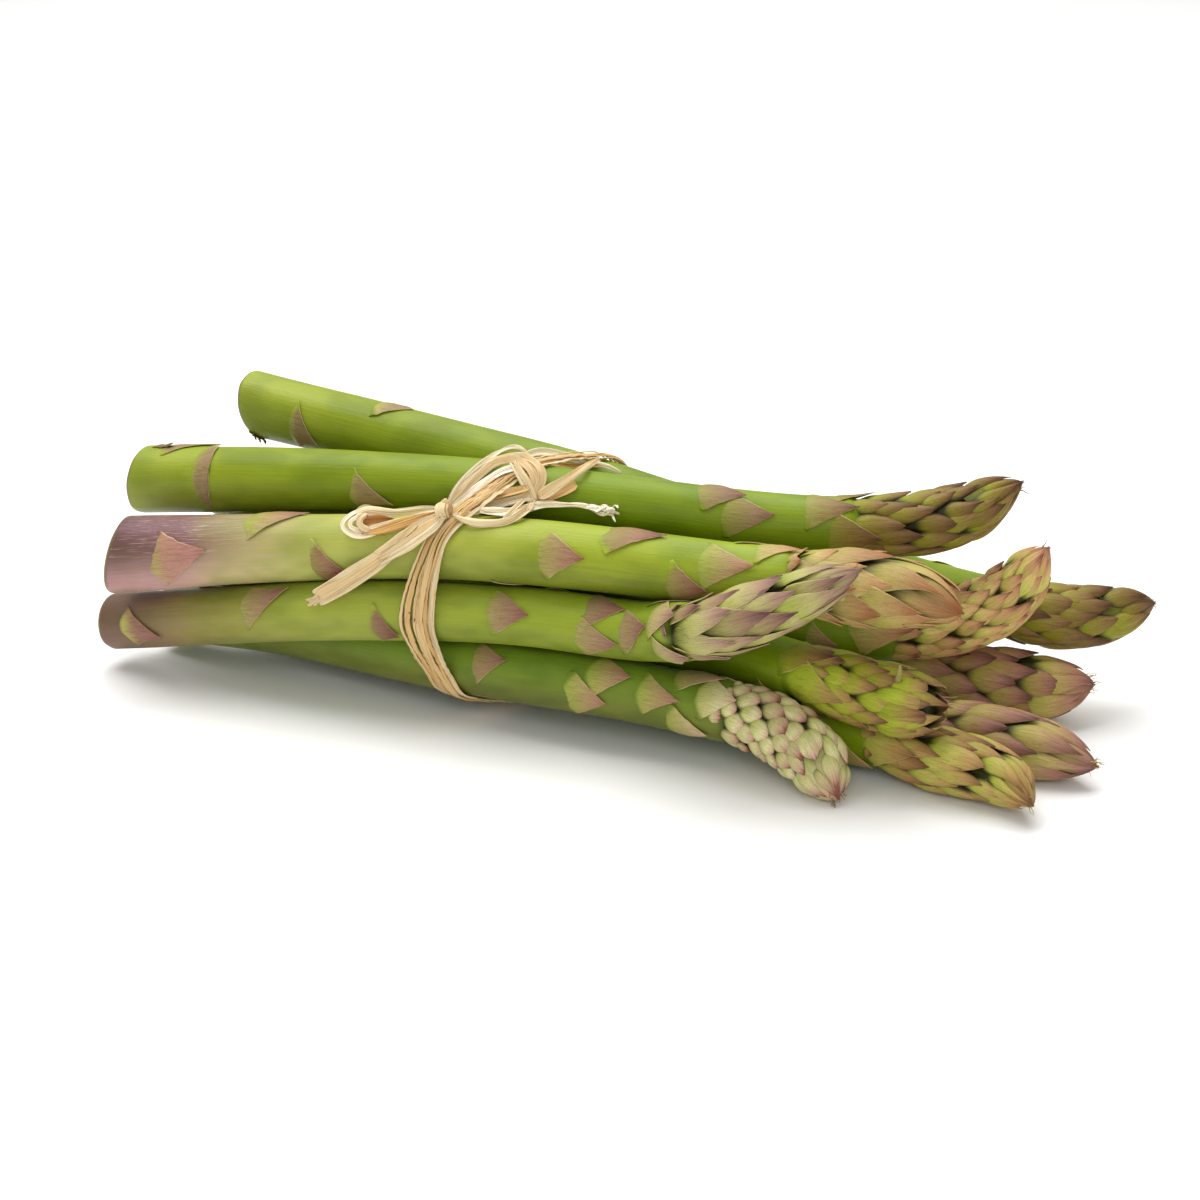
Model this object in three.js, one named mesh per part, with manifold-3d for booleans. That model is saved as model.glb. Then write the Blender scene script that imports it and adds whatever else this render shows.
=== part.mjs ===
// A bunch of ten asparagus spears, tied round the middle with raffia and lying on a table.
// Millimetres. +X runs along the bunch to the tips, -Y is its front and +Z is up.
import * as THREE from 'three';
import { mergeVertices } from 'three/addons/utils/BufferGeometryUtils.js';
import Module from 'manifold-3d';

const wasm = await Module();
wasm.setup();

// ---- Driving dimensions ----

const TIE_PLACE = [-27.7, -16, 0]; // the foot of the tie, from the middle of the bunch's own box
const GAP = 0.3; // air between pieces that touch
const FLAT_BAND = 0.6; // whatever hangs this near the table lies flat on it

const LINE_STEP = 1.5; // spacing of the points that stand for a spear's middle line
const STEM_STEP = 14; // spacing of the rings of a stem
const ARC_DIVISIONS = 400; // how finely a middle line's length is measured
// The cut end's worn edge: distances from the cut, and how far in they are.
const CUT_EDGE = [{ along: 0, depth: 2 }, { along: 0.7, depth: 0.8 }, { along: 2.2, depth: 0 }];
// A spear's outline: shares of the stem and of the head, and how fast the tip closes.
const MIDDLE_SHARE = 0.4;
const SWELL_SHARE = 0.35;
const TAPER = 0.75;
const HEAD_RELIEF = 0.9; // how far a head scale's point stands over the scale above it
const THIN_RELIEF = 0.4; // and at most this share of the head's radius
const ZIGZAG = 0.9; // depth of a row of points, as a share of the row

const SCALE_HALF_TURN = 44; // degrees that half a stem scale reaches round the stem
const SCALE_LIFT = 1.1; // how far a stem scale's point stands off
const SCALE_EDGE = 0.4; // how far its edges stand off
const SCALE_ROOT = 1.6; // how far a scale's two lower edges are sunk in
// Along a stem scale, as shares: how wide it is and how far it stands off.
const SCALE_ROWS = [
  { along: 0, width: 0.7, raise: -0.3 },
  { along: 0.35, width: 1, raise: 0.6 },
  { along: 1, width: 0.07, raise: 1 },
];
const GOLDEN_TURN = 137.5; // degrees from one scale to the next, up a spear
const TIE_REACH = 9; // scales lie flat this near the tie
const TIE_FADE = 4; // and rise to their full height over this length
const LEAST_LIFT = 0.2; // scales pressed flatter than this are left out

// How neighbours are pressed apart: only those this near are looked at, in a few short steps.
const NEAR = 4;
const PRESS_STEPS = 5;
const PRESS_SHARE = 0.55;

// Each spear's middle line runs from its butt to its tip, measured from the foot of the tie.
// Radii are at the butt, the middle, the neck under the head, and the head. The cut slants back
// by slant towards the turn back. A stem scale is [distance from the butt, turn round the stem,
// length]; turn 0 faces the front and 90 is up.
const SPEARS = [
  {
    name: 'spear_top_back',
    colour: 0x86a63a,
    line: [[-76.2, 16.5, 57], [-33.5, 14.5, 55], [9, 19, 50.5], [53, 31, 40], [98, 48, 27.5],
      [124, 59, 22.4], [141.5, 69.5, 25.5]],
    radii: { butt: 8, middle: 7.5, neck: 6.2, head: 7.6 },
    cut: { slant: 5, back: 270 },
    head: { length: 40, bluntness: 4.8, around: 5, rows: 8, first: 7, last: 3.4, turn: 20 },
    scales: [[17, 5, 11], [37, 98, 11], [62, 210, 12], [92, 330, 12], [122, 100, 12],
      [146, 230, 12], [162, 20, 12], [174, 140, 12], [180, 270, 11]],
  },
  {
    name: 'spear_top_front',
    colour: 0x7fa52c,
    line: [[-91, -10.5, 42.2], [-50, -8, 48.5], [-9, -0.5, 51.5], [34, 8.5, 51], [74, 22.5, 48.5],
      [101, 35.5, 50.5], [116, 45, 59]],
    radii: { butt: 8.3, middle: 7, neck: 6.8, head: 7.3 },
    cut: { slant: 3, back: 90 },
    head: { length: 40, bluntness: 3.8, around: 5, rows: 8, first: 7, last: 3.4, turn: 60 },
    scales: [[6, 107, 17], [20, 23, 10], [40, 220, 12], [60, 0, 12], [90, 160, 12],
      [122, 250, 12], [141, 77, 13], [147, 26, 14], [155, 190, 14], [165, 59, 15],
      [171, 0, 14], [172, 120, 12]],
  },
  {
    name: 'spear_front_upper',
    colour: 0x9cac62,
    line: [[-86, -31, 30.5], [-37, -20, 37.6], [12, -12.5, 43.5], [66, -3, 43.7],
      [103, 3.5, 44.2], [119.5, 1.5, 43.2]],
    radii: { butt: 9.1, middle: 7.6, neck: 7.4, head: 8.5 },
    cut: { slant: 6, back: 90 },
    head: { length: 40, bluntness: 4.2, around: 4, rows: 6, first: 8, last: 6, turn: 10 },
    scales: [[12, 6, 16], [24, 170, 14], [36, 78, 17], [54, -11, 11], [70, 200, 13],
      [96, 270, 13], [110, 18, 13], [124, 79, 16], [130, 190, 14], [141, -12, 11],
      [147, 35, 15], [152, 140, 14], [159, 92, 12]],
  },
  {
    name: 'spear_front_lower',
    colour: 0x8c9f45,
    line: [[-91, -24.5, 10], [-56.5, -24.5, 18.3], [-19.5, -21, 25.5], [19.5, -13.5, 28.5],
      [49.5, -11.5, 30.2], [72.5, -20, 39.2], [100, -10, 53.5]],
    radii: { butt: 6.7, middle: 7, neck: 6.7, head: 7.3 },
    cut: { slant: 1, back: 90 },
    head: { length: 44, bluntness: 3.2, around: 4, rows: 7, first: 8, last: 5, turn: 35 },
    scales: [[5, 8, 14], [26, 150, 12], [42, 27, 14], [66, 200, 12], [76, -9, 8],
      [104, 30, 12], [114, 150, 12], [125, -10, 14], [126, 57, 14], [134, 240, 12],
      [137, 14, 14], [144, 120, 12], [148, 45, 14], [150, -40, 13]],
  },
  {
    name: 'spear_front_bottom',
    colour: 0x75903a,
    line: [[-85, -8, 8], [-52.5, -11, 12.5], [-18, -11.5, 12.5], [19.5, -12.5, 14],
      [51, -10, 14], [77, -9.2, 12.8], [90.5, -12, 8.5], [99.5, -17, 2]],
    radii: { butt: 7.2, middle: 7.2, neck: 7, head: 7.6 },
    cut: { slant: 2, back: 200 },
    head: { length: 34, bluntness: 5.5, around: 6, rows: 9, first: 5, last: 3, turn: 15 },
    scales: [[20, 60, 12], [52, 190, 12], [78, -29, 10], [86, 27, 12], [108, 140, 12],
      [115, -2, 12], [120, 47, 12], [130, 220, 12], [133, 26, 12], [140, -30, 12],
      [140, 85, 13], [147, 44, 11], [148, 160, 10]],
  },
  {
    name: 'spear_centre',
    colour: 0x829a45,
    line: [[-80, 5.5, 38], [-37, 5.5, 38], [5.5, 8, 35.5], [47.5, 17, 28], [84, 26, 23],
      [111, 38.5, 29], [122.5, 47, 43.5]],
    radii: { butt: 7.2, middle: 7, neck: 6.7, head: 7.7 },
    cut: { slant: 2, back: 20 },
    head: { length: 42, bluntness: 4.6, around: 6, rows: 10, first: 5, last: 3, turn: 80 },
  },
  {
    name: 'spear_back_upper',
    colour: 0x8f9156,
    line: [[-75, 12.5, 23.5], [-22, 17.5, 25], [30.5, 25.5, 22.5], [84, 37, 13],
      [118, 46.5, 8.5], [134, 51, 10.5]],
    radii: { butt: 7.3, middle: 7.1, neck: 6.2, head: 7.8 },
    cut: { slant: 3, back: 130 },
    head: { length: 38, bluntness: 5.5, around: 5, rows: 8, first: 7, last: 3.4, turn: 50 },
  },
  {
    name: 'spear_back_bottom',
    colour: 0x85844a,
    line: [[-70, 23, 7.5], [-15, 19.5, 8.5], [38, 18, 8], [92.5, 17.5, 7], [126.5, 18.5, 7.2],
      [146.5, 18.5, 5.5]],
    radii: { butt: 7.4, middle: 7.1, neck: 6.7, head: 7.5 },
    cut: { slant: 2, back: 300 },
    head: { length: 38, bluntness: 4, around: 5, rows: 8, first: 7, last: 3.4, turn: 0 },
  },
  {
    name: 'spear_middle',
    colour: 0x9ab53c,
    line: [[-77, -7, 24.5], [-27, -1, 25], [21, 1.5, 21.5], [60, 5.5, 21], [84, 1.2, 21.4],
      [105, -1.5, 21], [120, -1, 21.5]],
    radii: { butt: 7.3, middle: 7, neck: 6.8, head: 7.6 },
    cut: { slant: 3, back: 0 },
    head: { length: 38, bluntness: 7, around: 5, rows: 8, first: 7, last: 3.4, turn: 70 },
  },
  {
    name: 'spear_middle_bottom',
    colour: 0x93a246,
    line: [[-70, 7, 7.5], [-17, 4.5, 8.6], [34, 3, 7.3], [86.5, 4, 8], [114, 2, 7.5],
      [131, -0.5, 7.2], [141, -7.5, 5.8]],
    radii: { butt: 7.4, middle: 7.1, neck: 6.4, head: 7.4 },
    cut: { slant: 2, back: 60 },
    head: { length: 42, bluntness: 3.2, around: 5, rows: 8, first: 7, last: 3.6, turn: 0 },
  },
];

// Spears with no list of their own carry scales at these shares of the stem, turned by the
// golden angle.
const COMMON_SCALES = [0.1, 0.3, 0.5, 0.66, 0.79, 0.88, 0.95];
const COMMON_SCALE_LENGTH = 12;

// The wrap stands this far along the bunch and leans this far back at the top and behind. It is
// this wide at eight turns round the bunch, from the front upwards.
const WRAP_MIDDLE = 11;
const WRAP_TILT = 13.5;
const WRAP_WIDTHS = [9, 5.5, 5, 4.5, 6, 6, 5, 8];
const WRAP_STEPS = 60;
const WRAP_AIR = 0.6; // under the raffia
const PRESSED = 0.3; // the thickness of the raffia that the bunch lies on
// Across the wrap and back: [share of its width, thickness], over the ridges of its strands.
const WRAP_SECTION = [[-0.5, 0], [-0.5, 0.7], [-0.3, 1], [-0.16, 0.6], [0, 1], [0.16, 0.6],
  [0.3, 1], [0.5, 0.7], [0.5, 0], [0.16, 0], [-0.16, 0]];
const RIBBON_THICKNESS = 0.8;
const RIBBON_STEP = 3.2;
const BUNCH_MIDDLE = new THREE.Vector3(0, 0, 28); // the middle of the bunch inside the tie
const SKIN_LEAN = 75; // degrees to each side that the stretched skin is felt for
const SKIN_STEP = 5;

const RAFFIA_COLOUR = 0xe6cfa4;
const RAFFIA_ROUGHNESS = 0.7;
const SPEAR_ROUGHNESS = 0.45;
const KNOT = { centre: [0.5, -17, 52.6], radii: [3.4, 3, 2.9] };

// Middle lines and widths of the bow's ribbons, measured from the foot of the tie.
const BOW_RIBBONS = [
  {
    width: 3.6,
    line: [[0.5, -17, 52.6], [1, -10, 56.5], [3, -3.5, 60.3], [8, 1.5, 62.3], [14, 2, 61.8],
      [18, -2, 59.5], [19, -6, 56.8], [16.5, -10, 55.4], [9, -14.5, 55.3], [0.5, -17, 52.6]],
  },
  {
    width: 3,
    line: [[0.5, -16, 53], [2.5, -5, 58.8], [5, 1, 60.8], [9, 7.5, 60.3], [14, 13.5, 59],
      [19, 16, 58], [25, 14, 58.9], [29.5, 9.5, 60], [26, 4.5, 60.4], [21, 0.5, 59.2],
      [17.8, -4, 56.8]],
  },
  {
    width: 3,
    line: [[18.5, -5.5, 56.4], [21.5, -2.6, 56.6], [25.5, 0.2, 57.4]],
  },
  {
    width: 3.2,
    line: [[0.5, -17, 52.6], [-6, -14.5, 52.6], [-13, -13, 51.8], [-20, -15, 51.4],
      [-24.5, -18.5, 50.9], [-25.5, -22.5, 49], [-21.5, -25.6, 47.3], [-15, -25, 48],
      [-7.5, -21, 51.2], [0.5, -17, 52.6]],
  },
];

// The free ends of raffia, each leaving the knot and lying on the spears.
const TAIL_SECTION_SIDES = 8;
const TAILS = [
  {
    name: 'raffia_tail_left',
    width: 4.6,
    line: [[-3.6, -22.3, 49.6], [-6.4, -24.4, 46.7], [-10, -25.8, 42.8], [-15, -26.6, 38.6],
      [-20, -27.2, 34.8], [-24, -28, 32], [-27.5, -28.8, 29.5]],
  },
  {
    name: 'raffia_tail_right',
    width: 2.6,
    line: [[8.2, -14.6, 52.6], [10.5, -12.8, 52.2], [13.5, -9.8, 52], [18, -5.4, 52.6],
      [23, -3.6, 53.2], [28.5, -2.2, 53.2], [35.5, -1, 52.2]],
  },
];

// ---- Spears ----

const smooth = (t) => {
  const x = THREE.MathUtils.clamp(t, 0, 1);
  return x * x * (3 - 2 * x);
};
const mix = THREE.MathUtils.lerp;
const radians = THREE.MathUtils.degToRad;

class Spear {
  constructor(spec) {
    Object.assign(this, spec);
    const points = spec.line.map((p) => new THREE.Vector3(...p));
    this.curve = new THREE.CatmullRomCurve3(points, false, 'catmullrom', 0.5);
    this.curve.arcLengthDivisions = ARC_DIVISIONS;
    this.length = this.curve.getLength();
    this.stem = this.length - spec.head.length;
    const count = Math.ceil(this.length / LINE_STEP);
    this.samples = Array.from({ length: count + 1 }, (_, i) => {
      const distance = (this.length * i) / count;
      return { point: this.curve.getPointAt(i / count), radius: this.radius(distance) };
    });
  }

  // The outline's radius, scales and all.
  radius(distance) {
    const { butt, middle, neck, head } = this.radii;
    const share = distance / this.stem;
    if (share < MIDDLE_SHARE) return mix(butt, middle, smooth(share / MIDDLE_SHARE));
    if (share < 1) {
      return mix(middle, neck, smooth((share - MIDDLE_SHARE) / (1 - MIDDLE_SHARE)));
    }
    const up = Math.min((distance - this.stem) / this.head.length, 1);
    const taper = (1 - up ** this.head.bluntness) ** TAPER;
    return mix(neck, head, smooth(up / SWELL_SHARE)) * taper;
  }

  // The point at a distance from the butt, a turn round the stem and a radius.
  at(distance, turn, radius) {
    const share = THREE.MathUtils.clamp(distance / this.length, 0, 1);
    const tangent = this.curve.getTangentAt(share);
    const up = new THREE.Vector3(0, 0, 1).addScaledVector(tangent, -tangent.z).normalize();
    const front = new THREE.Vector3().crossVectors(tangent, up);
    return this.curve.getPointAt(share)
      .addScaledVector(front, Math.cos(radians(turn)) * radius)
      .addScaledVector(up, Math.sin(radians(turn)) * radius);
  }

  // How far a point stands above this spear's outline.
  heightOf(point) {
    let least = Infinity;
    for (const sample of this.samples) {
      least = Math.min(least, sample.point.distanceTo(point) - sample.radius);
    }
    return least;
  }
}

const spears = SPEARS.map((spec) => new Spear(spec));

// Presses a point of one spear in until it is on its own side of the gap to each neighbour,
// and lays what is near the table flat on it.
function settle(spear, point, distance) {
  const axis = spear.curve.getPointAt(THREE.MathUtils.clamp(distance / spear.length, 0, 1));
  const inward = axis.clone().sub(point).normalize();
  for (const other of spears) {
    if (other === spear || other.heightOf(point) > NEAR) continue;
    for (let step = 0; step < PRESS_STEPS; step += 1) {
      const own = point.distanceTo(axis) - spear.radius(distance);
      const excess = own - other.heightOf(point) + GAP;
      if (excess > 0) point.addScaledVector(inward, PRESS_SHARE * excess);
    }
  }
  if (point.z < FLAT_BAND) point.z = 0;
  return point;
}

// ---- Solids ----

const centreOf = (points) => points
  .reduce((sum, point) => sum.add(point), new THREE.Vector3())
  .divideScalar(points.length);

// A solid skinned over a row of rings of points, capped at both ends unless it is looped.
// Two rings may share a point, where the surface between them closes up.
function skinned(rings, looped = false) {
  const bands = looped ? [...rings, rings[0]] : rings;
  const corners = [];
  for (let row = 0; row < bands.length - 1; row += 1) {
    const [ring, next] = [bands[row], bands[row + 1]];
    ring.forEach((point, i) => {
      const j = (i + 1) % ring.length;
      corners.push([point, ring[j], next[j]], [point, next[j], next[i]]);
    });
  }
  if (!looped) {
    const [first, last] = [rings[0], rings.at(-1)];
    const [start, end] = [centreOf(first), centreOf(last)];
    first.forEach((point, i) => corners.push([start, first[(i + 1) % first.length], point]));
    last.forEach((point, i) => corners.push([end, point, last[(i + 1) % last.length]]));
  }
  const triangles = corners.filter(([a, b, c]) => a !== b && b !== c && c !== a);
  const points = [...new Set(triangles.flat())];
  const index = new Map(points.map((point, i) => [point, i]));
  const volume = triangles.reduce((sum, [a, b, c]) => {
    return sum + a.dot(new THREE.Vector3().crossVectors(b, c));
  }, 0);
  const facing = volume > 0 ? triangles : triangles.map(([a, b, c]) => [a, c, b]);
  return new wasm.Manifold(new wasm.Mesh({
    numProp: 3,
    vertProperties: new Float32Array(points.flatMap((point) => point.toArray())),
    triVerts: new Uint32Array(facing.flat().map((point) => index.get(point))),
  }));
}

const joined = (solids) => wasm.Manifold.union(solids);

// The rings of the plain stem, from its slanted and worn cut edge to the neck.
function stemRings(spear) {
  const sides = 2 * spear.head.around;
  const ring = (distance, depth, slant) => Array.from({ length: sides }, (_, i) => {
    const turn = spear.head.turn + (360 * i) / sides;
    const back = (slant * (1 + Math.cos(radians(turn - spear.cut.back)))) / 2;
    const place = distance + back;
    return settle(spear, spear.at(place, turn, spear.radius(place) - depth), place);
  });
  const steps = Math.round(spear.stem / STEM_STEP);
  const plain = Array.from({ length: steps - 1 }, (_, i) => (spear.stem * (i + 1)) / steps);
  return [
    ...CUT_EDGE.map(({ along, depth }) => ring(along, depth, spear.cut.slant)),
    ...plain.map((distance) => ring(distance, 0, 0)),
  ];
}

// The rings of the head. Each row of scales ends in a ring of raised points with hollows
// between them, and the points stand over the next row's foot. Each row's points lie over
// the hollows of the row before, and the last ring is the tip.
function headRings(spear) {
  const { length, around, rows, first, last, turn } = spear.head;
  const spans = Array.from({ length: rows }, (_, k) => mix(first, last, k / (rows - 1)));
  const whole = spans.reduce((sum, span) => sum + span, 0);
  const rings = [];
  let from = spear.stem;
  spans.forEach((span, k) => {
    const step = (span * length) / whole;
    const raised = [];
    const sunk = [];
    for (let i = 0; i < 2 * around; i += 1) {
      const isPoint = (i + k) % 2 === 0;
      const reach = 0.5 + (isPoint ? 0.5 : -0.5) * ZIGZAG;
      const distance = from + reach * step;
      const radius = spear.radius(distance);
      const relief = Math.min(HEAD_RELIEF, THIN_RELIEF * radius);
      const put = (height) => {
        return settle(spear, spear.at(distance, turn + (180 * i) / around, height), distance);
      };
      const foot = put(radius - relief);
      raised.push(isPoint ? put(radius) : foot);
      sunk.push(foot);
    }
    rings.push(raised, sunk);
    from += step;
  });
  const tip = spear.curve.getPointAt(1);
  rings.push(Array(2 * around).fill(tip));
  return rings;
}

// One pointed scale of the stem: a low wedge that is widest near its foot, lies round the
// stem, and stands off at its point.
function scaleOn(spear, { from, turn, length, lift }) {
  const rings = SCALE_ROWS.map(({ along, width, raise }) => {
    const distance = from + along * length;
    const radius = spear.radius(distance);
    const corner = (side, reach) => {
      return spear.at(distance, turn + side * width * SCALE_HALF_TURN, reach);
    };
    const outer = [-1, 0, 1].map((side) => {
      const reach = radius + (side === 0 ? raise * lift : Math.min(raise * lift, SCALE_EDGE));
      return settle(spear, corner(side, reach), distance);
    });
    return [...outer, corner(1, radius - SCALE_ROOT), corner(-1, radius - SCALE_ROOT)];
  });
  return skinned(rings);
}

// How far along the bunch the middle of the wrap stands, at a turn round the bunch.
const wrapPlace = (turn) => WRAP_MIDDLE - WRAP_TILT * Math.cos(radians(turn));

// Scales lie flat under the raffia.
function flattening(spear, distance, turn) {
  const { x, y, z } = spear.at(distance, turn, spear.radius(distance));
  const facing = THREE.MathUtils.radToDeg(Math.atan2(z - BUNCH_MIDDLE.z, -y));
  return smooth((Math.abs(x - wrapPlace(facing)) - TIE_REACH) / TIE_FADE);
}

function stemScales(spear) {
  const common = COMMON_SCALES.map((share, i) => [
    share * spear.stem, spear.head.turn + i * GOLDEN_TURN, COMMON_SCALE_LENGTH,
  ]);
  return (spear.scales ?? common)
    .map(([from, turn, length]) => {
      const lift = SCALE_LIFT * flattening(spear, from + length / 2, turn);
      return { from, turn, length, lift };
    })
    .filter(({ lift }) => lift > LEAST_LIFT)
    .map((scale) => scaleOn(spear, scale));
}

function spearSolid(spear) {
  const body = skinned([...stemRings(spear), ...headRings(spear)]);
  return joined([body, ...stemScales(spear)]);
}

// ---- Raffia ----

// A smooth value from a list spread evenly round a full turn.
function around(values, turn) {
  const place = (((turn % 360) + 360) % 360) * (values.length / 360);
  const index = Math.floor(place);
  const next = values[(index + 1) % values.length];
  return mix(values[index], next, smooth(place - index));
}

// The spears' cross-sections at x, from the middle of the bunch.
function sectionsAt(x) {
  return spears.map(({ samples }) => {
    const next = samples.findIndex(({ point }) => point.x > x);
    const [a, b] = [samples[next - 1], samples[next]];
    const share = (x - a.point.x) / (b.point.x - a.point.x);
    const { y, z } = a.point.clone().lerp(b.point, share).sub(BUNCH_MIDDLE);
    return { y, z, radius: mix(a.radius, b.radius, share) };
  });
}

// Where a stretched skin round all the spears stands at x, at a turn round their middle, and
// which way is out. Each lean is a straight edge laid on the spears, and the nearest one to
// the middle is the skin.
function skinAt(x, turn) {
  const sections = sectionsAt(x);
  let reach = Infinity;
  for (let lean = -SKIN_LEAN; lean <= SKIN_LEAN; lean += SKIN_STEP) {
    const [c, s] = [Math.cos(radians(turn + lean)), Math.sin(radians(turn + lean))];
    const edge = Math.max(...sections.map(({ y, z, radius }) => radius - y * c + z * s));
    reach = Math.min(reach, edge / Math.cos(radians(lean)));
  }
  const out = new THREE.Vector3(0, -Math.cos(radians(turn)), Math.sin(radians(turn)));
  const point = BUNCH_MIDDLE.clone().addScaledVector(out, reach + WRAP_AIR);
  point.x = x;
  return { point, out };
}

// The wrap round the bunch, with the ridges of its strands.
function wrapSolid() {
  const rings = Array.from({ length: WRAP_STEPS }, (_, i) => {
    const turn = (360 * i) / WRAP_STEPS;
    return WRAP_SECTION.map(([share, thickness]) => {
      const { point, out } = skinAt(wrapPlace(turn) + share * around(WRAP_WIDTHS, turn), turn);
      point.addScaledVector(out, thickness);
      point.z = Math.max(point.z, thickness === 0 ? PRESSED : 0);
      return point;
    });
  });
  return skinned(rings, true);
}

// A flat band along a line, its face turned away from the middle of the bunch. It is made in
// two halves, because the two ends of a loop cross inside the knot.
function ribbon(line, section) {
  const curve = new THREE.CatmullRomCurve3(line.map((p) => new THREE.Vector3(...p)));
  const steps = Math.ceil(curve.getLength() / RIBBON_STEP);
  const rings = Array.from({ length: steps + 1 }, (_, i) => {
    const centre = curve.getPointAt(i / steps);
    const along = curve.getTangentAt(i / steps);
    const out = centre.clone().sub(BUNCH_MIDDLE).setX(0);
    const across = new THREE.Vector3().crossVectors(along, out).normalize();
    const face = new THREE.Vector3().crossVectors(across, along);
    return section.map(([side, height]) => centre.clone()
      .addScaledVector(across, side)
      .addScaledVector(face, height));
  });
  const half = Math.floor(steps / 2);
  return joined([skinned(rings.slice(0, half + 1)), skinned(rings.slice(half))]);
}

function flatSection(width) {
  const [side, height] = [width / 2, RIBBON_THICKNESS / 2];
  return [[-side, -height], [side, -height], [side, height], [-side, height]];
}

function roundedSection(width) {
  return Array.from({ length: TAIL_SECTION_SIDES }, (_, i) => {
    const angle = (2 * Math.PI * (i + 0.5)) / TAIL_SECTION_SIDES;
    return [(Math.cos(angle) * width) / 2, (Math.sin(angle) * RIBBON_THICKNESS) / 2];
  });
}

function knotSolid() {
  const ball = new THREE.IcosahedronGeometry(1, 1);
  ball.deleteAttribute('normal');
  ball.deleteAttribute('uv');
  const { attributes, index } = mergeVertices(ball.scale(...KNOT.radii).translate(...KNOT.centre));
  return new wasm.Manifold(new wasm.Mesh({
    numProp: 3,
    vertProperties: attributes.position.array,
    triVerts: new Uint32Array(index.array),
  }));
}

function tieSolid() {
  const bow = BOW_RIBBONS.map(({ line, width }) => ribbon(line, flatSection(width)));
  return joined([wrapSolid(), knotSolid(), ...bow]);
}

// ---- The bunch ----

const bunch = new THREE.Group();
bunch.position.set(...TIE_PLACE);

function addMesh(name, solid, colour, roughness) {
  const { vertProperties, triVerts } = solid.getMesh();
  const geometry = new THREE.BufferGeometry();
  geometry.setAttribute('position', new THREE.BufferAttribute(vertProperties, 3));
  geometry.setIndex(new THREE.BufferAttribute(triVerts, 1));
  const material = new THREE.MeshStandardMaterial({ color: colour, roughness, metalness: 0 });
  const mesh = new THREE.Mesh(geometry, material);
  mesh.name = name;
  bunch.add(mesh);
}

for (const spear of spears) addMesh(spear.name, spearSolid(spear), spear.colour, SPEAR_ROUGHNESS);
addMesh('raffia_tie', tieSolid(), RAFFIA_COLOUR, RAFFIA_ROUGHNESS);
for (const { name, line, width } of TAILS) {
  addMesh(name, ribbon(line, roundedSection(width)), RAFFIA_COLOUR, RAFFIA_ROUGHNESS);
}

export default bunch;
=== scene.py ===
"""A bunch of ten asparagus spears tied with raffia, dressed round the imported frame.

Lengths are in millimetres from the foot of the tie until a mesh is made, and in metres then.
"""
import math

import bmesh
import bpy
import numpy as np
from mathutils import Matrix, Vector


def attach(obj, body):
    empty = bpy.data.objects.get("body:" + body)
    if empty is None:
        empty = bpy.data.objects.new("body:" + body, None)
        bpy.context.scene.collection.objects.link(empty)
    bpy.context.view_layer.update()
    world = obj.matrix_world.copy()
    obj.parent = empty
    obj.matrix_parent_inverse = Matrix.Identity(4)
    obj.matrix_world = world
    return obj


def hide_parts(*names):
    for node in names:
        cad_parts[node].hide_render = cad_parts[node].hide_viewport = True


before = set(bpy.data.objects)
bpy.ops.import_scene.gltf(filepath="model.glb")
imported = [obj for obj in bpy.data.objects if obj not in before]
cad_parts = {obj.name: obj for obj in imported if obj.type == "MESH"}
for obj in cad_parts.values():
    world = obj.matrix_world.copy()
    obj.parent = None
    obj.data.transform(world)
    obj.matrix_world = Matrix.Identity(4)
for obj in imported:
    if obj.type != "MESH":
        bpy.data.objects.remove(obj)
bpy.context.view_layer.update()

MM = 0.001
TIE_PLACE = np.array([-27.7, -16.0, 0.0])  # the foot of the tie in the part's own frame


def metres(points):
    return (np.asarray(points, float) + TIE_PLACE) * MM


def smooth(t):
    t = np.clip(t, 0, 1)
    return t * t * (3 - 2 * t)


def mix(a, b, t):
    return a + (b - a) * t


def unit(v):
    return v / np.maximum(np.linalg.norm(v, axis=-1, keepdims=True), 1e-9)


# ---- Camera ----

AZIMUTH, ELEVATION = math.radians(28), math.radians(22)
LENS, SENSOR = 90.0, 36.0
REACH = 705.0  # how far in front of the camera the tie's middle lies
TIE_MIDDLE = np.array([0.0, 0.0, 30.0])
ASIDE, ABOVE = -27.7, 5.4  # where the tie's middle stands in the view, from its centre
RIGHT = np.array([math.cos(AZIMUTH), math.sin(AZIMUTH), 0])
BACK = np.array([RIGHT[1] * math.cos(ELEVATION), -RIGHT[0] * math.cos(ELEVATION), math.sin(ELEVATION)])
UP = np.cross(BACK, RIGHT)
EYE = TIE_MIDDLE + BACK * REACH - RIGHT * ASIDE - UP * ABOVE


def add_camera():
    camera = bpy.data.objects.new("camera", bpy.data.cameras.new("camera"))
    bpy.context.scene.collection.objects.link(camera)
    camera.data.lens, camera.data.sensor_width = LENS, SENSOR
    camera.data.clip_start, camera.data.clip_end = 0.01, 20
    axes = Matrix(np.array([RIGHT, UP, BACK]).T).to_4x4()
    camera.matrix_world = Matrix.Translation(Vector(metres(EYE))) @ axes
    bpy.context.scene.camera = camera


add_camera()


# ---- Lines ----

CURVE_STEPS = 60
LINE_STEP = 0.5


def catmull_rom(points):
    """A smooth curve through the points, whose two ends carry on straight."""
    p = np.asarray(points, float)
    p = np.vstack([2 * p[0] - p[1], p, 2 * p[-1] - p[-2]])
    w = np.linspace(0, 1, CURVE_STEPS, endpoint=False)[:, None]
    parts = []
    for a, b, c, d in zip(p, p[1:], p[2:], p[3:]):
        into, out = (c - a) / 2, (d - b) / 2
        bend, twist = 3 * (c - b) - 2 * into - out, 2 * (b - c) + into + out
        parts.append(b + into * w + bend * w**2 + twist * w**3)
    return np.vstack([*parts, p[-2:-1]])


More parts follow.
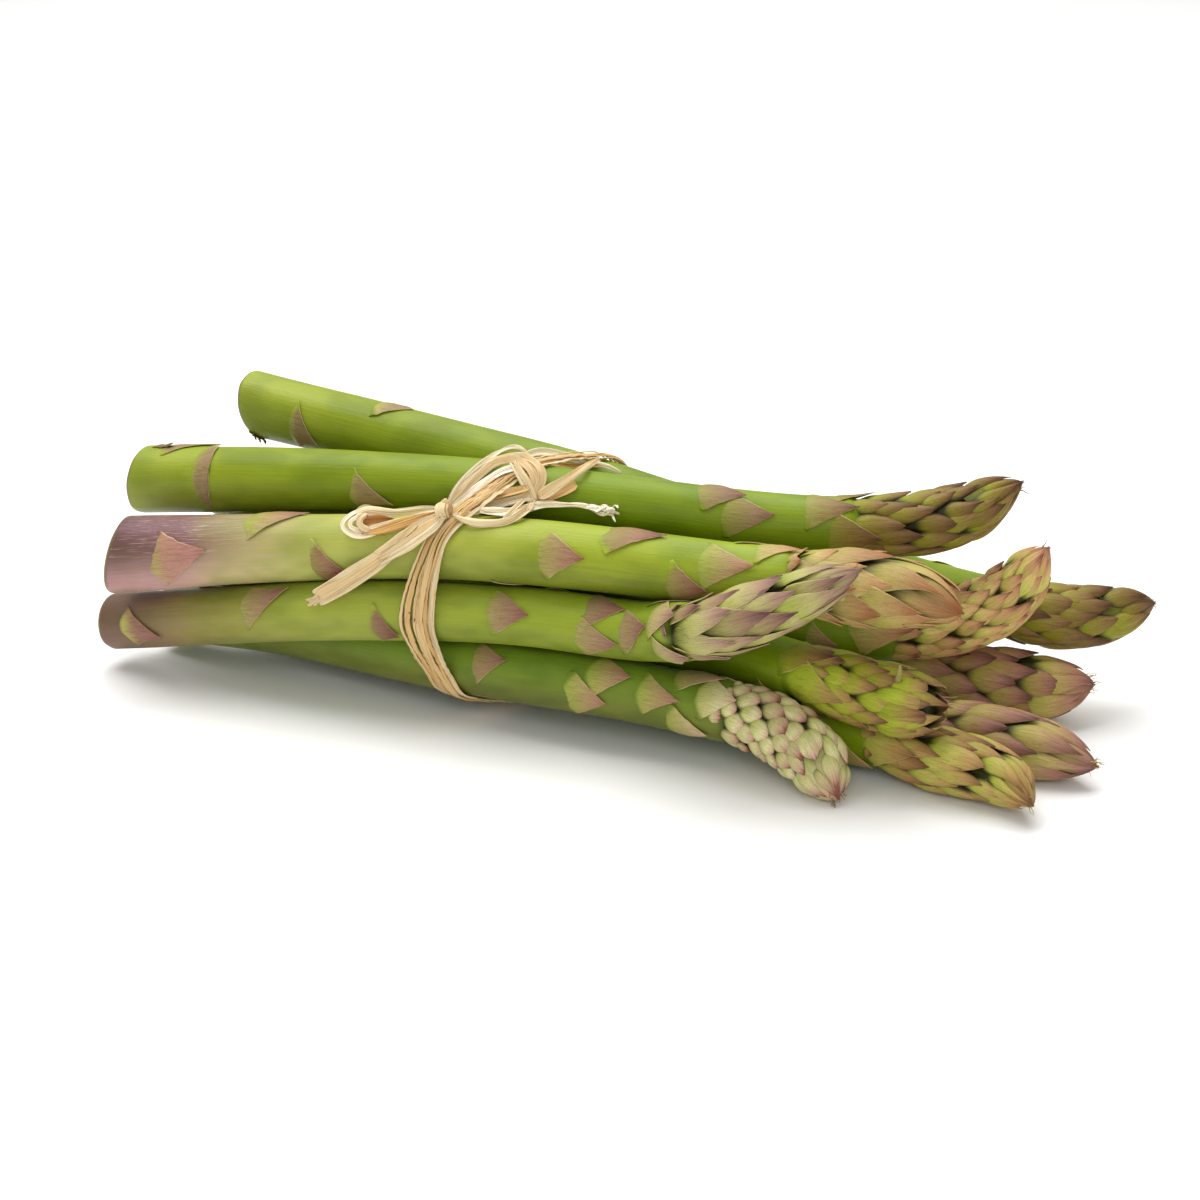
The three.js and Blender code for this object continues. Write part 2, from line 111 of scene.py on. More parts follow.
class Line:
    """A smooth line, sampled evenly along its length."""

    def __init__(self, points, step=LINE_STEP):
        curve = catmull_rom(points)
        along = np.r_[0, np.cumsum(np.linalg.norm(np.diff(curve, axis=0), axis=1))]
        self.length = along[-1]
        self.s = np.linspace(0, self.length, int(self.length / step) + 2)
        self.points = np.stack([np.interp(self.s, along, axis) for axis in curve.T], -1)
        self.tangents = unit(np.gradient(self.points, self.s, axis=0))

    def at(self, s):
        return np.stack([np.interp(s, self.s, axis) for axis in self.points.T], -1)

    def tangent(self, s):
        return unit(np.stack([np.interp(s, self.s, axis) for axis in self.tangents.T], -1))


# ---- Spears ----

# Each spear's middle line runs from its butt to its tip. Radii are at the butt, the middle,
# the neck under the head, and the head. The head's rows of scales, with so many around, stand
# apart in proportion from first to last. A stem scale is (distance from the butt, turn round
# the stem, length); turn 0 faces the front and 90 is up. The cut is (slant, turn it goes back).
# A spur is (share of the head, turn, height).
SPEARS = {
    "spear_top_back": dict(
        line=[(-76.2, 16.5, 57), (-33.5, 14.5, 55), (9, 19, 50.5), (53, 31, 40), (98, 48, 27.5),
              (124, 59, 22.4), (141.5, 69.5, 25.5)],
        radii=(8, 7.5, 6.2, 7.6),
        head=dict(kind="plump", length=40, bluntness=4.8, around=8, rows=7, first=7, last=4.6, turn=20),
        scales=[(18, 5, 9), (37, 98, 11), (62, 210), (92, 330), (122, 100), (146, 230), (162, 20),
                (174, 140), (180, 270, 11)],
        cut=(5, 270), slot="spear_bright_green", seed=11),
    "spear_top_front": dict(
        line=[(-91, -10.5, 42.2), (-50, -8, 48.5), (-9, -0.5, 51.5), (34, 8.5, 51), (74, 22.5, 48.5),
              (101, 35.5, 50.5), (116, 45, 59)],
        radii=(8.3, 7, 6.8, 7.3),
        head=dict(kind="plump", length=40, bluntness=3.8, around=9, rows=7, first=7, last=4.6, turn=60),
        scales=[(6, 107, 17), (20, 23, 10), (40, 220), (60, 0), (90, 160), (122, 250), (141, 77, 13),
                (147, 26, 14), (155, 190, 14), (165, 59, 15), (171, 0, 14), (172, 120)],
        cut=(3, 90), slot="spear_bright_green", seed=12),
    "spear_front_upper": dict(
        line=[(-86, -31, 30.5), (-37, -20, 37.6), (12, -12.5, 43.5), (66, -3, 43.7), (103, 3.5, 44.2),
              (119.5, 1.5, 43.2)],
        radii=(9.1, 7.6, 7.4, 8.5),
        head=dict(kind="leafy", length=40, bluntness=4.2, around=8, rows=5, first=8, last=8, turn=10),
        scales=[(13.5, 4, 16), (24, 170, 14), (36, 78, 17), (54, -11, 11), (70, 200, 13), (96, 270, 13),
                (110, 18, 13), (124, 79, 16), (130, 190, 14), (141, -12, 11), (147, 35, 15),
                (152, 140, 14), (159, 92)],
        cut=(6, 90), slot="spear_pink_butt", seed=13),
    "spear_front_lower": dict(
        line=[(-91, -24.5, 10), (-56.5, -24.5, 18.3), (-19.5, -21, 25.5), (19.5, -13.5, 28.5),
              (49.5, -11.5, 30.2), (72.5, -20, 39.2), (100, -10, 53.5)],
        radii=(6.7, 7, 6.7, 7.3),
        head=dict(kind="leafy", length=44, bluntness=3.2, around=8, rows=6, first=8, last=6, turn=35),
        scales=[(7, 6, 13), (26, 150), (42, 27, 14), (66, 200), (76, -9, 8), (104, 30), (114, 150),
                (125, -10, 14), (126, 57, 14), (134, 240), (137, 14, 14), (144, 120), (148, 45, 14),
                (150, -40, 13)],
        cut=(1, 90), slot="spear_purple_butt", seed=14),
    "spear_front_bottom": dict(
        line=[(-85, -8, 8), (-52.5, -11, 12.5), (-18, -11.5, 12.5), (19.5, -12.5, 14), (51, -10, 14),
              (77, -9.2, 12.8), (90.5, -12, 8.5), (99.5, -17, 2)],
        radii=(7.2, 7.2, 7, 7.6),
        head=dict(kind="beaded", length=34, bluntness=5.5, around=8, rows=10, first=1, last=1,
                  turn=15, wisps=8),
        scales=[(20, 60), (52, 190), (78, -29, 10), (91, 24, 11), (108, 140), (115, -2), (120, 47),
                (130, 220), (133, 26), (140, -30), (140, 85, 13), (147, 44, 11), (148, 160, 10)],
        cut=(2, 200), slot="spear_deep_green", seed=15),
    "spear_centre": dict(
        line=[(-80, 5.5, 38), (-37, 5.5, 38), (5.5, 8, 35.5), (47.5, 17, 28), (84, 26, 23),
              (111, 38.5, 29), (122.5, 47, 43.5)],
        radii=(7.2, 7, 6.7, 7.7),
        head=dict(kind="plump", length=42, bluntness=4.6, around=11, rows=10, first=5, last=4, turn=80),
        scales=[(18, 80), (53, 217), (88, 355), (116, 133), (139, 270), (155, -8, 9), (163, 18, 18)],
        cut=(2, 20), slot="spear_deep_green", seed=16),
    "spear_back_upper": dict(
        line=[(-75, 12.5, 23.5), (-22, 17.5, 25), (30.5, 25.5, 22.5), (84, 37, 13), (118, 46.5, 8.5),
              (134, 51, 10.5)],
        radii=(7.3, 7.1, 6.2, 7.8),
        head=dict(kind="plump", length=38, bluntness=5.5, around=7, rows=6, first=7, last=6, turn=50,
                  wisps=12),
        scales=[(18, 50), (53, 187), (88, 325), (116, 102), (139, 240), (155, 10), (167, 28, 15)],
        cut=(3, 130), slot="spear_purple_head", seed=17),
    "spear_back_bottom": dict(
        line=[(-70, 23, 7.5), (-15, 19.5, 8.5), (38, 18, 8), (92.5, 17.5, 7), (126.5, 18.5, 7.2),
              (146.5, 18.5, 5.5)],
        radii=(7.4, 7.1, 6.7, 7.5),
        head=dict(kind="plump", length=38, bluntness=4, around=8, rows=5, first=7, last=6, turn=0,
                  wisps=10),
        cut=(2, 300), slot="spear_purple_head", seed=18),
    "spear_middle": dict(
        line=[(-77, -7, 24.5), (-27, -1, 25), (21, 1.5, 21.5), (60, 5.5, 21), (84, 1.2, 21.4),
              (105, -1.5, 21), (120, -1, 21.5)],
        radii=(7.3, 7, 6.8, 7.6),
        head=dict(kind="plump", length=38, bluntness=7, around=9, rows=7, first=7, last=5, turn=70,
                  torn=True, wisps=9, spurs=[(0.68, 62, 5.5)]),
        scales=[(16, 70), (48, 207), (80, 345), (106, 122), (127, 260), (140, 60), (149, -48),
                (155, 58, 15), (159, 12, 16)],
        cut=(3, 0), slot="spear_bright_green", seed=19),
    "spear_middle_bottom": dict(
        line=[(-70, 7, 7.5), (-17, 4.5, 8.6), (34, 3, 7.3), (86.5, 4, 8), (114, 2, 7.5), (131, -0.5, 7.2),
              (141, -7.5, 5.8)],
        radii=(7.4, 7.1, 6.4, 7.4),
        head=dict(kind="plump", length=42, bluntness=3.2, around=9, rows=6, first=7, last=5, turn=0),
        scales=[(17, 0), (51, 137), (86, 275), (113, 52), (136, 190), (151, 22), (160, -22),
                (168, 14, 15)],
        cut=(2, 60), slot="spear_deep_green", seed=20),
}

# Spears with no list of their own carry scales at these shares of the stem.
COMMON_SCALES = [0.1, 0.3, 0.5, 0.66, 0.79, 0.88, 0.95]
SCALE_LENGTH = 12  # where none is given
GOLDEN_TURN = 137.5
OUTLINE_STEP = 1.5  # spacing of the balls that stand for a spear's outline
MIDDLE_SHARE, SWELL_SHARE, TAPER = 0.4, 0.35, 0.75
GAP = 0.3  # left between spears that press on each other
NEIGHBOURHOOD = 12  # further than this from a neighbour, no point can touch it
PRESS_STEPS, PRESS_SHARE, NEAR = 5, 0.55, 4
BLOCK = 4000  # points pressed at a time
FLAT_BAND, FLATTENING = 0.6, 0.25  # what lies this low is squeezed flat on the table


class Spear:
    """A spear's middle line, its outline and where its stem scales grow."""

    def __init__(self, name, line, radii, head, slot, cut, seed, scales=None):
        self.name, self.head, self.slot, self.cut = name, head, slot, cut
        self.butt, self.middle, self.neck, self.crown = radii
        self.line = Line(line)
        self.length = self.line.length
        self.stem = self.length - head["length"]
        self.random = np.random.default_rng(seed)
        common = [(share * self.stem, head["turn"] + i * GOLDEN_TURN)
                  for i, share in enumerate(COMMON_SCALES)]
        self.scales = [(*scale, SCALE_LENGTH)[:3] for scale in scales or common]
        s = np.linspace(0, self.length, math.ceil(self.length / OUTLINE_STEP) + 1)
        self.outline = (self.line.at(s), self.radius(s))

    def radius(self, s):
        """The outline's radius at a distance from the butt."""
        share = s / self.stem
        low = mix(self.butt, self.middle, smooth(share / MIDDLE_SHARE))
        high = mix(self.middle, self.neck, smooth((share - MIDDLE_SHARE) / (1 - MIDDLE_SHARE)))
        up = np.clip((s - self.stem) / self.head["length"], 0, 1)
        taper = (1 - up ** self.head["bluntness"]) ** TAPER
        crown = mix(self.neck, self.crown, smooth(up / SWELL_SHARE)) * taper
        return np.where(share < MIDDLE_SHARE, low, np.where(share < 1, high, crown))

    def at(self, s, turn, radius):
        """The point at a distance from the butt, a turn in degrees and a radius."""
        tangent = self.line.tangent(s)
        up = unit(np.array([0, 0, 1.0]) - tangent * tangent[..., 2:])
        front = np.cross(tangent, up)
        a = np.radians(turn)[..., None]
        return self.line.at(s) + (front * np.cos(a) + up * np.sin(a)) * radius[..., None]


def height_over(points, outline):
    """How far points stand over an outline."""
    centres, radii = outline
    spans = np.linalg.norm(points[:, None] - centres[None], axis=2) - radii[None]
    return spans.min(axis=1)


def settle(spear, points, s):
    """Presses points of one spear in to their own side of the gap to each neighbour."""
    axis = spear.line.at(s)
    inward = unit(axis - points)
    radius = spear.radius(s)
    for other in spears.values():
        if other is spear:
            continue
        low = other.outline[0].min(0) - NEIGHBOURHOOD
        high = other.outline[0].max(0) + NEIGHBOURHOOD
        boxed = np.flatnonzero(((points > low) & (points < high)).all(1))
        for block in np.array_split(boxed, len(boxed) // BLOCK + 1):
            near = block[height_over(points[block], other.outline) < NEAR]
            for _ in range(PRESS_STEPS):
                own = np.linalg.norm(points[near] - axis[near], axis=1) - radius[near]
                excess = own - height_over(points[near], other.outline) + GAP
                points[near] += inward[near] * np.maximum(0, PRESS_SHARE * excess)[:, None]
    points[points[:, 2] < FLAT_BAND, 2] *= FLATTENING
    points[:, 2] = np.maximum(points[:, 2], 0)
    return points


spears = {name: Spear(name, **spec) for name, spec in SPEARS.items()}


# ---- Place of the tie ----

BUNCH_MIDDLE = np.array([0.0, 0.0, 28.0])
WRAP_MIDDLE, WRAP_TILT = 11, 13.5


def wrap_place(turn):
    """How far along the bunch the middle of the wrap stands, at a turn round the bunch."""
    return WRAP_MIDDLE - WRAP_TILT * np.cos(np.radians(turn))


# ---- Meshes ----

class Skin:
    """Gathers closed tubes of points, with three vectors that the materials read.

    straight is the place along and across the straightened piece, leaf is (along a scale,
    nearness to its edge, how much it is a scale), and tone is (a random share, dryness, painted shade).
    """

    def __init__(self):
        self.points, self.faces, self.distances, self.count = [], [], [], 0
        self.values = {"straight": [], "leaf": [], "tone": []}

    def tube(self, grid, straight, leaf, tone, s, looped=False):
        """Adds a tube: rows of points that each close on themselves, capped at both ends."""
        rows, around = grid.shape[:2]
        index = self.count + np.arange(rows * around).reshape(rows, around)
        bands = np.vstack([index, index[:1]]) if looped else index
        side = np.roll(bands, -1, axis=1)
        quads = np.stack([bands[:-1], side[:-1], side[1:], bands[1:]], -1).reshape(-1, 4)
        self.faces += quads.tolist()
        ends = [] if looped else [0, rows - 1]

        def gather(a):
            middles = [a[end].mean(0).reshape(1, -1) for end in ends]
            return np.concatenate([a.reshape(rows * around, -1), *middles])

        self.points.append(gather(grid))
        self.distances.append(gather(s)[:, 0])
        for name, value in (("straight", straight), ("leaf", leaf), ("tone", tone)):
            self.values[name].append(gather(np.broadcast_to(value, grid.shape)))
        self.count += rows * around
        for end in ends:
            ring = index[end].tolist()
            pairs = list(zip(ring, ring[1:] + ring[:1]))
            self.faces += [[self.count, b, a] if end == 0 else [self.count, a, b] for a, b in pairs]
            self.count += 1

    def mesh(self, name, spear=None):
        points = np.vstack(self.points)
        if spear:
            points = settle(spear, points, np.concatenate(self.distances))
        mesh = bpy.data.meshes.new(name)
        mesh.from_pydata(metres(points).tolist(), [], self.faces)
        for key, parts in self.values.items():
            attribute = mesh.attributes.new(key, "FLOAT_VECTOR", "POINT")
            attribute.data.foreach_set("vector", np.vstack(parts).astype(np.float32).ravel())
        mesh.shade_smooth()
        mesh.update()
        return mesh


def facing_out(mesh):
    """Turns every closed shell of the mesh to face outwards."""
    work = bmesh.new()
    work.from_mesh(mesh)
    bmesh.ops.recalc_face_normals(work, faces=work.faces)
    work.to_mesh(mesh)
    work.free()


def ripple(random, waves, rate, turns):
    """A smooth field of bumps along a piece and round it, between about -1 and 1."""
    rates = random.uniform(0.3, 1, waves) * rate
    counts = random.integers(0, turns + 1, waves)
    phases = random.uniform(0, 2 * math.pi, waves)

    def field(s, turn):
        a = np.radians(turn)
        total = sum(np.sin(r * s + n * a + p) for r, n, p in zip(rates, counts, phases))
        return total / math.sqrt(waves)
    return field


def fibre(skin, random, points, radius, dry=1.0, distance=0.0):
    """Adds one thin fibre along a row of points, thinning to its end."""
    points = np.asarray(points, float)
    tangent = unit(np.gradient(points, axis=0))
    side = unit(np.cross(tangent, random.normal(0, 1, 3)))
    other = np.cross(tangent, side)
    width = radius * (1 - 0.7 * np.linspace(0, 1, len(points)))
    a = np.linspace(0, 2 * math.pi, 5, endpoint=False)[None, :, None]
    rim = side[:, None] * np.cos(a) + other[:, None] * np.sin(a)
    grid = points[:, None] + rim * width[:, None, None]
    straight = np.broadcast_to(points[:, None], grid.shape)
    tone = (random.random(), dry, 0.0)
    skin.tube(grid, straight, (0.45, 0, 1), tone, np.full(grid.shape[:2], distance))


# ---- Stems ----

STEM_ROUND = 60
STEM_ROW = 1.6
CUT_EDGE = 2.2  # radius of the rounding between the cut face and the side
CORE_DEPTH = 2.0  # how far the head's core lies under its scales
TORN_DEPTH = 4.5  # how deep the hole in a torn tip is
TIP_DEPTH = 1.2  # how far the core ends under a closed tip
BUMP_DEPTH, FLUTE_DEPTH, GRAIN_DEPTH = 0.16, 0.07, 0.35  # the last one on the cut face
STRAIGHT_RADIUS = 7.0  # the radius of the straightened spear, for the materials


def straightened(s, turn):
    a = np.radians(turn)
    return np.stack([s, STRAIGHT_RADIUS * np.cos(a), STRAIGHT_RADIUS * np.sin(a)], -1)


def stem_skin(skin, spear):
    """The cut face, the stem and the head's core, as one tube."""
    bumps = ripple(spear.random, 10, 0.12, 3)
    flutes = ripple(spear.random, 6, 0.02, 9)
    grain = ripple(spear.random, 6, 1, 5)
    arc = np.linspace(math.pi / 2, 0, 7)
    face = np.linspace(0.06, 1, 9)[:-1]
    edge_s = CUT_EDGE * (1 - np.sin(arc))
    edge_r = spear.butt - CUT_EDGE * (1 - np.cos(arc))
    end = TORN_DEPTH if spear.head.get("torn") else TIP_DEPTH
    side_s = np.arange(CUT_EDGE + STEM_ROW, spear.length - end, STEM_ROW)
    s = np.r_[np.zeros(len(face)), edge_s, side_s]
    outline = spear.radius(side_s)
    core = smooth((side_s - spear.stem + 2) / 6)
    radius = np.r_[face * edge_r[0], edge_r, outline - core * np.minimum(CORE_DEPTH, 0.45 * outline)]
    turn = np.linspace(0, 360, STEM_ROUND, endpoint=False)
    s, turn = np.meshgrid(s, turn, indexing="ij")
    radius = np.repeat(radius[:, None], STEM_ROUND, 1)
    relief = BUMP_DEPTH * bumps(s, turn) + FLUTE_DEPTH * flutes(s, turn)
    radius = radius + relief * smooth(radius / spear.butt * 1.5 - 0.5)
    slant, back = spear.cut
    from_middle = np.cos(np.radians(turn - back)) * np.clip(radius / spear.butt, 0, 1)
    moved = s + slant * (0.5 + 0.5 * from_middle) * np.clip(1 - s / (3 * slant + 8), 0, 1)
    on_face = (s < 0.01) * smooth((spear.butt - radius) / 2)
    moved = moved + on_face * GRAIN_DEPTH * grain(radius * 2, turn)
    grid = spear.at(moved, turn, radius)
    # painted shade: the head's core is darkened where it lies under its scales, standing in for the shade
    # in the crevices
    shade_depth = np.clip((spear.radius(s) - radius) / CORE_DEPTH, 0, 1) * (s > spear.stem - 3)
    cut = np.where(s < 0.01, 1.0, 0.0)
    rim = np.exp(-((s - 0.8) / 1.1) ** 2) * (s > 0.01)
    zero = np.zeros_like(s)
    place = straightened(moved, turn) * np.stack([zero + 1, radius / spear.butt, radius / spear.butt], -1)
    leaf = np.stack([zero, zero, -cut], -1)
    skin.tube(grid, place, leaf, np.stack([zero + 0.5, rim * 0.8, shade_depth], -1), moved)


# ---- Scales ----

def outline_share(x, ear, side):
    """A scale's half width, as a share of the whole, at a share of its length."""
    foot = np.sqrt(np.clip(x / ear, 0, 1))
    t = np.clip((x - ear) / (1 - ear), 0, 1)
    return np.where(x < ear, foot, (1 - t**side[0]) ** side[1])


def both(a):
    """The values on a scale's upper face, and again on its lower face."""
    return np.concatenate([a, a[:, ::-1]], 1)


def scale(skin, spear, foot, turn, length, half_turn, look, swing=0.0, lift=0.0):
    """Adds one scale: a thin pointed leaf that grows from its foot and lies along the spear.

    Its point swings round the stem by the swing, in degrees, and stands higher by the lift.
    """
    random = spear.random
    rows, columns = look["grid"]
    ear = look["ear"] * random.uniform(0.85, 1.15)
    t = np.linspace(0, 1, rows)
    y = np.linspace(-1, 1, columns)
    x, y = np.meshgrid(mix(t, smooth(t), 0.5), mix(y, np.sin(y * math.pi / 2), 0.6), indexing="ij")
    bend, power = look["side"]
    share = np.maximum(outline_share(x, ear, (bend * random.uniform(0.7, 1.1), power)), 0.02)
    rag = look["rag"] * random.normal(0, 1, (rows, 2))
    share = share * (1 + np.where(y > 0, rag[:, :1], rag[:, 1:]) * (x > ear))
    curl = look["curl"] * random.uniform(0.3, 1.3)
    open_edge = smooth((x - 0.6 * ear) / (0.6 * ear))
    beyond_swell = smooth((x - look["swell_at"]) / (1 - look["swell_at"])) ** 1.3
    middle = mix(look["root"], look["swell"], smooth(x / look["swell_at"]))
    middle = middle + (look["tip"] + curl - look["swell"]) * beyond_swell
    side = mix(mix(look["root"], look["edge"], open_edge), middle, x**4)
    lip = look["lip"] * (0.6 + 0.8 * random.random(2))
    lip = np.where(y > 0, lip[0], lip[1]) * open_edge * (1 - x**3)
    top = side + (middle - side) * (1 - np.abs(y) ** look["crown"]) + lip * np.abs(y) ** 8
    top = top + look["tilt"] * random.choice([-1, 1]) * y * open_edge * (1 - x**2)
    veins = np.cos(y * share * 13 + random.uniform(0, 6)) * (1 - np.abs(y) ** 4) * smooth(x * 4)
    top = top + look["veins"] * veins + lift * smooth(1.6 * x)
    edge_thickness, more = look["thickness"]
    bottom = top - edge_thickness - more * (1 - np.abs(y) ** 3) * smooth(3 * (1 - x) + 0.2)
    s = both(foot + x * length)
    angle = both(turn + y * share * half_turn + (swing + look["skew"] * random.normal()) * x**1.5)
    height = np.concatenate([top, bottom[:, ::-1]], 1)
    base = spear.radius(np.clip(s, 0, spear.length - 0.15))
    radius = np.maximum(base + height * np.clip(base / 4, 0.25, 1), 0.12)
    grid = spear.at(np.minimum(s, spear.length), angle, radius)
    past = np.clip(s - spear.length, 0, 1)
    grid = grid + spear.line.tangent(np.full(s.shape, spear.length)) * past[..., None]
    shown_x = np.clip((x - look["hidden"]) / (1 - look["hidden"]), 0, 1)
    beyond_foot = (x - ear * (y * share) ** 2) * length
    mask = smooth(beyond_foot / look["fade"] - look["late"])
    leaf = np.stack([both(shown_x), both(np.abs(y) ** 8 * open_edge * look["rim"]), both(mask)], -1)
    # painted shade: darker where the scale lies low, in the crevices between scales
    sunk_shade = np.clip(-height / 1.5, 0, 1) * look["shade"]
    tone = np.stack([np.full(s.shape, random.random()), np.full(s.shape, look["dry"]), sunk_shade], -1)
    skin.tube(grid, straightened(s, angle), leaf, tone, s)


STEM_SCALE = dict(
    grid=(17, 13), ear=0.3, side=(0.9, 1.05), rag=0.025, skew=3.0, curl=0.4, root=-0.3, swell=0.45,
    swell_at=0.45, tip=0.4, edge=0.28, lip=0.2, crown=2.4, tilt=0.0, veins=0.02, thickness=(0.12, 0.5),
    fade=3.4, late=0.1, hidden=0.0, rim=0.65, shade=0.4, dry=0.0)
LEAFY = dict(
    STEM_SCALE, grid=(22, 11), ear=0.45, side=(1.7, 1.1), root=-2.1, swell=-0.1, swell_at=0.75, tip=0.1,
    curl=0.45, edge=-0.55, tilt=0.3, skew=7, veins=0.04, thickness=(0.14, 0.9), late=-1.0,
    hidden=0.45, shade=0.8)
PLUMP = dict(
    STEM_SCALE, grid=(17, 11), ear=0.5, side=(1.6, 1.0), root=-1.9, swell=0.35, swell_at=0.64, tip=0.0,
    curl=0.3, edge=-1.6, lip=0.06, tilt=0.2, veins=0.04, thickness=(0.22, 1.2), late=-1.0, rag=0.02,
    crown=2.2, skew=7, hidden=0.28, rim=0.5, shade=1.0)
BEADED = dict(
    PLUMP, grid=(15, 11), side=(2.0, 0.75), swell=0.4, swell_at=0.7, tip=-0.3, curl=0.1, skew=4,
    hidden=0.3, rim=0.2)
TORN = dict(PLUMP, side=(3.5, 0.5), rag=0.1, tip=0.1, thickness=(0.3, 0.8), dry=0.1)
CLOSED = dict(PLUMP, side=(8, 0.5), root=-1.0, swell=-0.4, tip=-0.2, curl=0.05, edge=-0.7, hidden=0.2,
              skew=1, shade=0.6)
SHRED = dict(
    STEM_SCALE, side=(1.8, 0.7), rag=0.15, root=-0.2, swell=0.25, tip=0.9, edge=0.3,
    thickness=(0.12, 0.15), dry=0.8, skew=8)
BAND = dict(
    STEM_SCALE, ear=0.45, side=(5, 0.6), rag=0.09, swell=0.35, tip=0.45, edge=0.1,
    thickness=(0.12, 0.25), dry=0.25, rim=1.0)
# For each kind of head: the look of a scale, its length in steps of the rows, and its half
# width as a share of the space between scales.
HEADS = dict(leafy=(LEAFY, 3.0, 0.8), plump=(PLUMP, 2.7, 0.77), beaded=(BEADED, 2.7, 0.62))
HEAD_FOOT = 9  # no head scale grows from further below the head
PAST_TIP = 0.3  # how far the last scales reach past the end of the spear's line
NEAR_TIP_GROWTH = 1.25  # how much longer the scales of the last two rows are
OUTER_DROP = 0.45  # the share of a row by which every other scale there ends lower
OUTER_LIFT = 0.5  # how much higher it stands
TORN_ENDS, TORN_FRONT = (-3.2, -1.6), 1.5  # a torn tip is lower on the side that faces the camera
CLOSED_FOOT, CLOSED_LENGTH, CLOSED_HALF_TURN = 14, 14.4, 42  # the scales that close the tip
EYE_TURN = 25  # the turn that faces the camera
UNDER_WRAP = 6.1  # scales this near the wrap's middle lie under it, and are left out
# Scales whose points swing to one side, by their spear and distance from the butt.
SWINGS = {
    ("spear_front_lower", 7): -28, ("spear_front_lower", 42): 40, ("spear_front_lower", 76): -22,
    ("spear_front_bottom", 91): 16, ("spear_front_upper", 13.5): 20, ("spear_front_upper", 54): -22,
    ("spear_top_front", 60): -22, ("spear_top_back", 18): -30,
}
# Scales that are worn down to a torn band.
BANDS = {("spear_top_front", 20)}
# Torn brown shreds of skin: (distance from the butt, turn, length, half width in degrees).
SHREDS = {
    "spear_top_back": [(5.2, 292, 4, 9), (5, 304, 3, 7), (4.6, 316, 3, 6)],
    "spear_top_front": [(3.6, 97, 10, 10)],
    "spear_front_lower": [(84, -4, 5, 12), (84, 20, 4, 9)],
    "spear_middle": [(118, 75, 9, 12), (112, 88, 8, 10)],
}


def stem_scales(skin, spear):
    for foot, turn, length in spear.scales:
        s, angle = np.array([foot + length / 2]), np.array([turn])
        x, y, z = spear.at(s, angle, spear.radius(s))[0]
        facing = math.degrees(math.atan2(z - BUNCH_MIDDLE[2], -y))
        if abs(x - wrap_place(facing)) < UNDER_WRAP:
            continue
        if (spear.name, foot) in BANDS:
            scale(skin, spear, foot, turn, length * 0.65, 72, BAND, 12)
            continue
        swing = SWINGS.get((spear.name, foot), spear.random.normal(0, 6))
        scale(skin, spear, foot - 0.5, turn, length * 1.08, 50, STEM_SCALE, swing)
    for foot, turn, length, half_turn in SHREDS.get(spear.name, []):
        scale(skin, spear, foot, turn, length, half_turn, SHRED)


def head_scales(skin, spear):
    """Overlapping scales whose rows climb spirally round the head."""
    head, random = spear.head, spear.random
    look, reach, width = HEADS[head["kind"]]
    spans = np.linspace(head["first"], head["last"], head["rows"])
    steps = spans * head["length"] / spans.sum()
    tips = spear.stem + np.cumsum(steps) - 0.05 * steps
    pitch = 360 / head["around"]
    for row, (tip, step) in enumerate(zip(tips, steps)):
        is_last, is_near_tip = row == head["rows"] - 1, row >= head["rows"] - 2
        is_torn = is_last and head.get("torn", False)
        for column in range(row % 2, 2 * head["around"], 2):
            turn = head["turn"] + pitch * column / 2 + random.normal(0, 0.08) * pitch
            size = reach * step * random.uniform(0.9, 1.12) * (NEAR_TIP_GROWTH if is_near_tip else 1)
            climb = column / head["around"] - 1 + random.normal(0, 0.12)
            end = min(tip + climb * step, spear.length + PAST_TIP)
            if is_torn:
                facing = 1 + math.cos(math.radians(turn - EYE_TURN))
                end = spear.length + random.uniform(*TORN_ENDS) - TORN_FRONT * facing
            elif is_last:
                end = spear.length + PAST_TIP
            is_outer = is_near_tip and column // 2 % 2 and not is_torn
            end -= OUTER_DROP * step * is_outer
            foot = max(end - size, spear.stem - HEAD_FOOT + random.uniform(0, 6))
            half = width * pitch * random.uniform(0.9, 1.15)
            grown = TORN if is_torn else dict(look, late=0.1, fade=4) if foot < spear.stem else look
            scale(skin, spear, foot, turn, end - foot, half, grown, lift=OUTER_LIFT * is_outer)
    if not head.get("torn"):
        for turn in head["turn"] + np.arange(0, 360, 60):
            scale(skin, spear, spear.length - CLOSED_FOOT, turn, CLOSED_LENGTH, CLOSED_HALF_TURN, CLOSED)
    wisps(skin, spear, head.get("wisps", 3))
    for share, turn, height in head.get("spurs", []):
        s = np.full(5, spear.stem + share * head["length"]) + np.linspace(0, 0.25 * height, 5)
        rise = spear.radius(s) + np.linspace(-0.6, height, 5)
        line = spear.at(s, np.full(5, turn), rise) + random.normal(0, 0.08, (5, 3))
        fibre(skin, random, line, 1.0, 0.25, s[0])


def wisps(skin, spear, count):
    """Dry fibres that stand out of the tip."""
    random = spear.random
    for _ in range(count):
        s = np.full(4, spear.length - random.uniform(0.8, 2))
        root = spear.at(s[:1], np.array([random.uniform(0, 360)]), spear.radius(s[:1]) * 0.7)
        away = unit(root[0] - spear.line.at(s[:1])[0])
        way = unit(spear.line.tangent(s[:1])[0] + away * random.uniform(0.0, 0.5))
        reach = np.linspace(0, random.uniform(1.5, 3), 4)[:, None]
        bent = root + way * reach + random.normal(0, 0.15, (4, 3)) * reach
        fibre(skin, random, bent, random.uniform(0.1, 0.2), random.uniform(0.1, 0.4), spear.length)


# ---- Materials ----

def linear(code):
    """A colour written as six hexadecimal digits, as the linear colour that shaders take."""
    channels = [int(code[i:i + 2], 16) / 255 for i in (0, 2, 4)]
    return [c / 12.92 if c < 0.04045 else ((c + 0.055) / 1.055) ** 2.4 for c in channels] + [1.0]


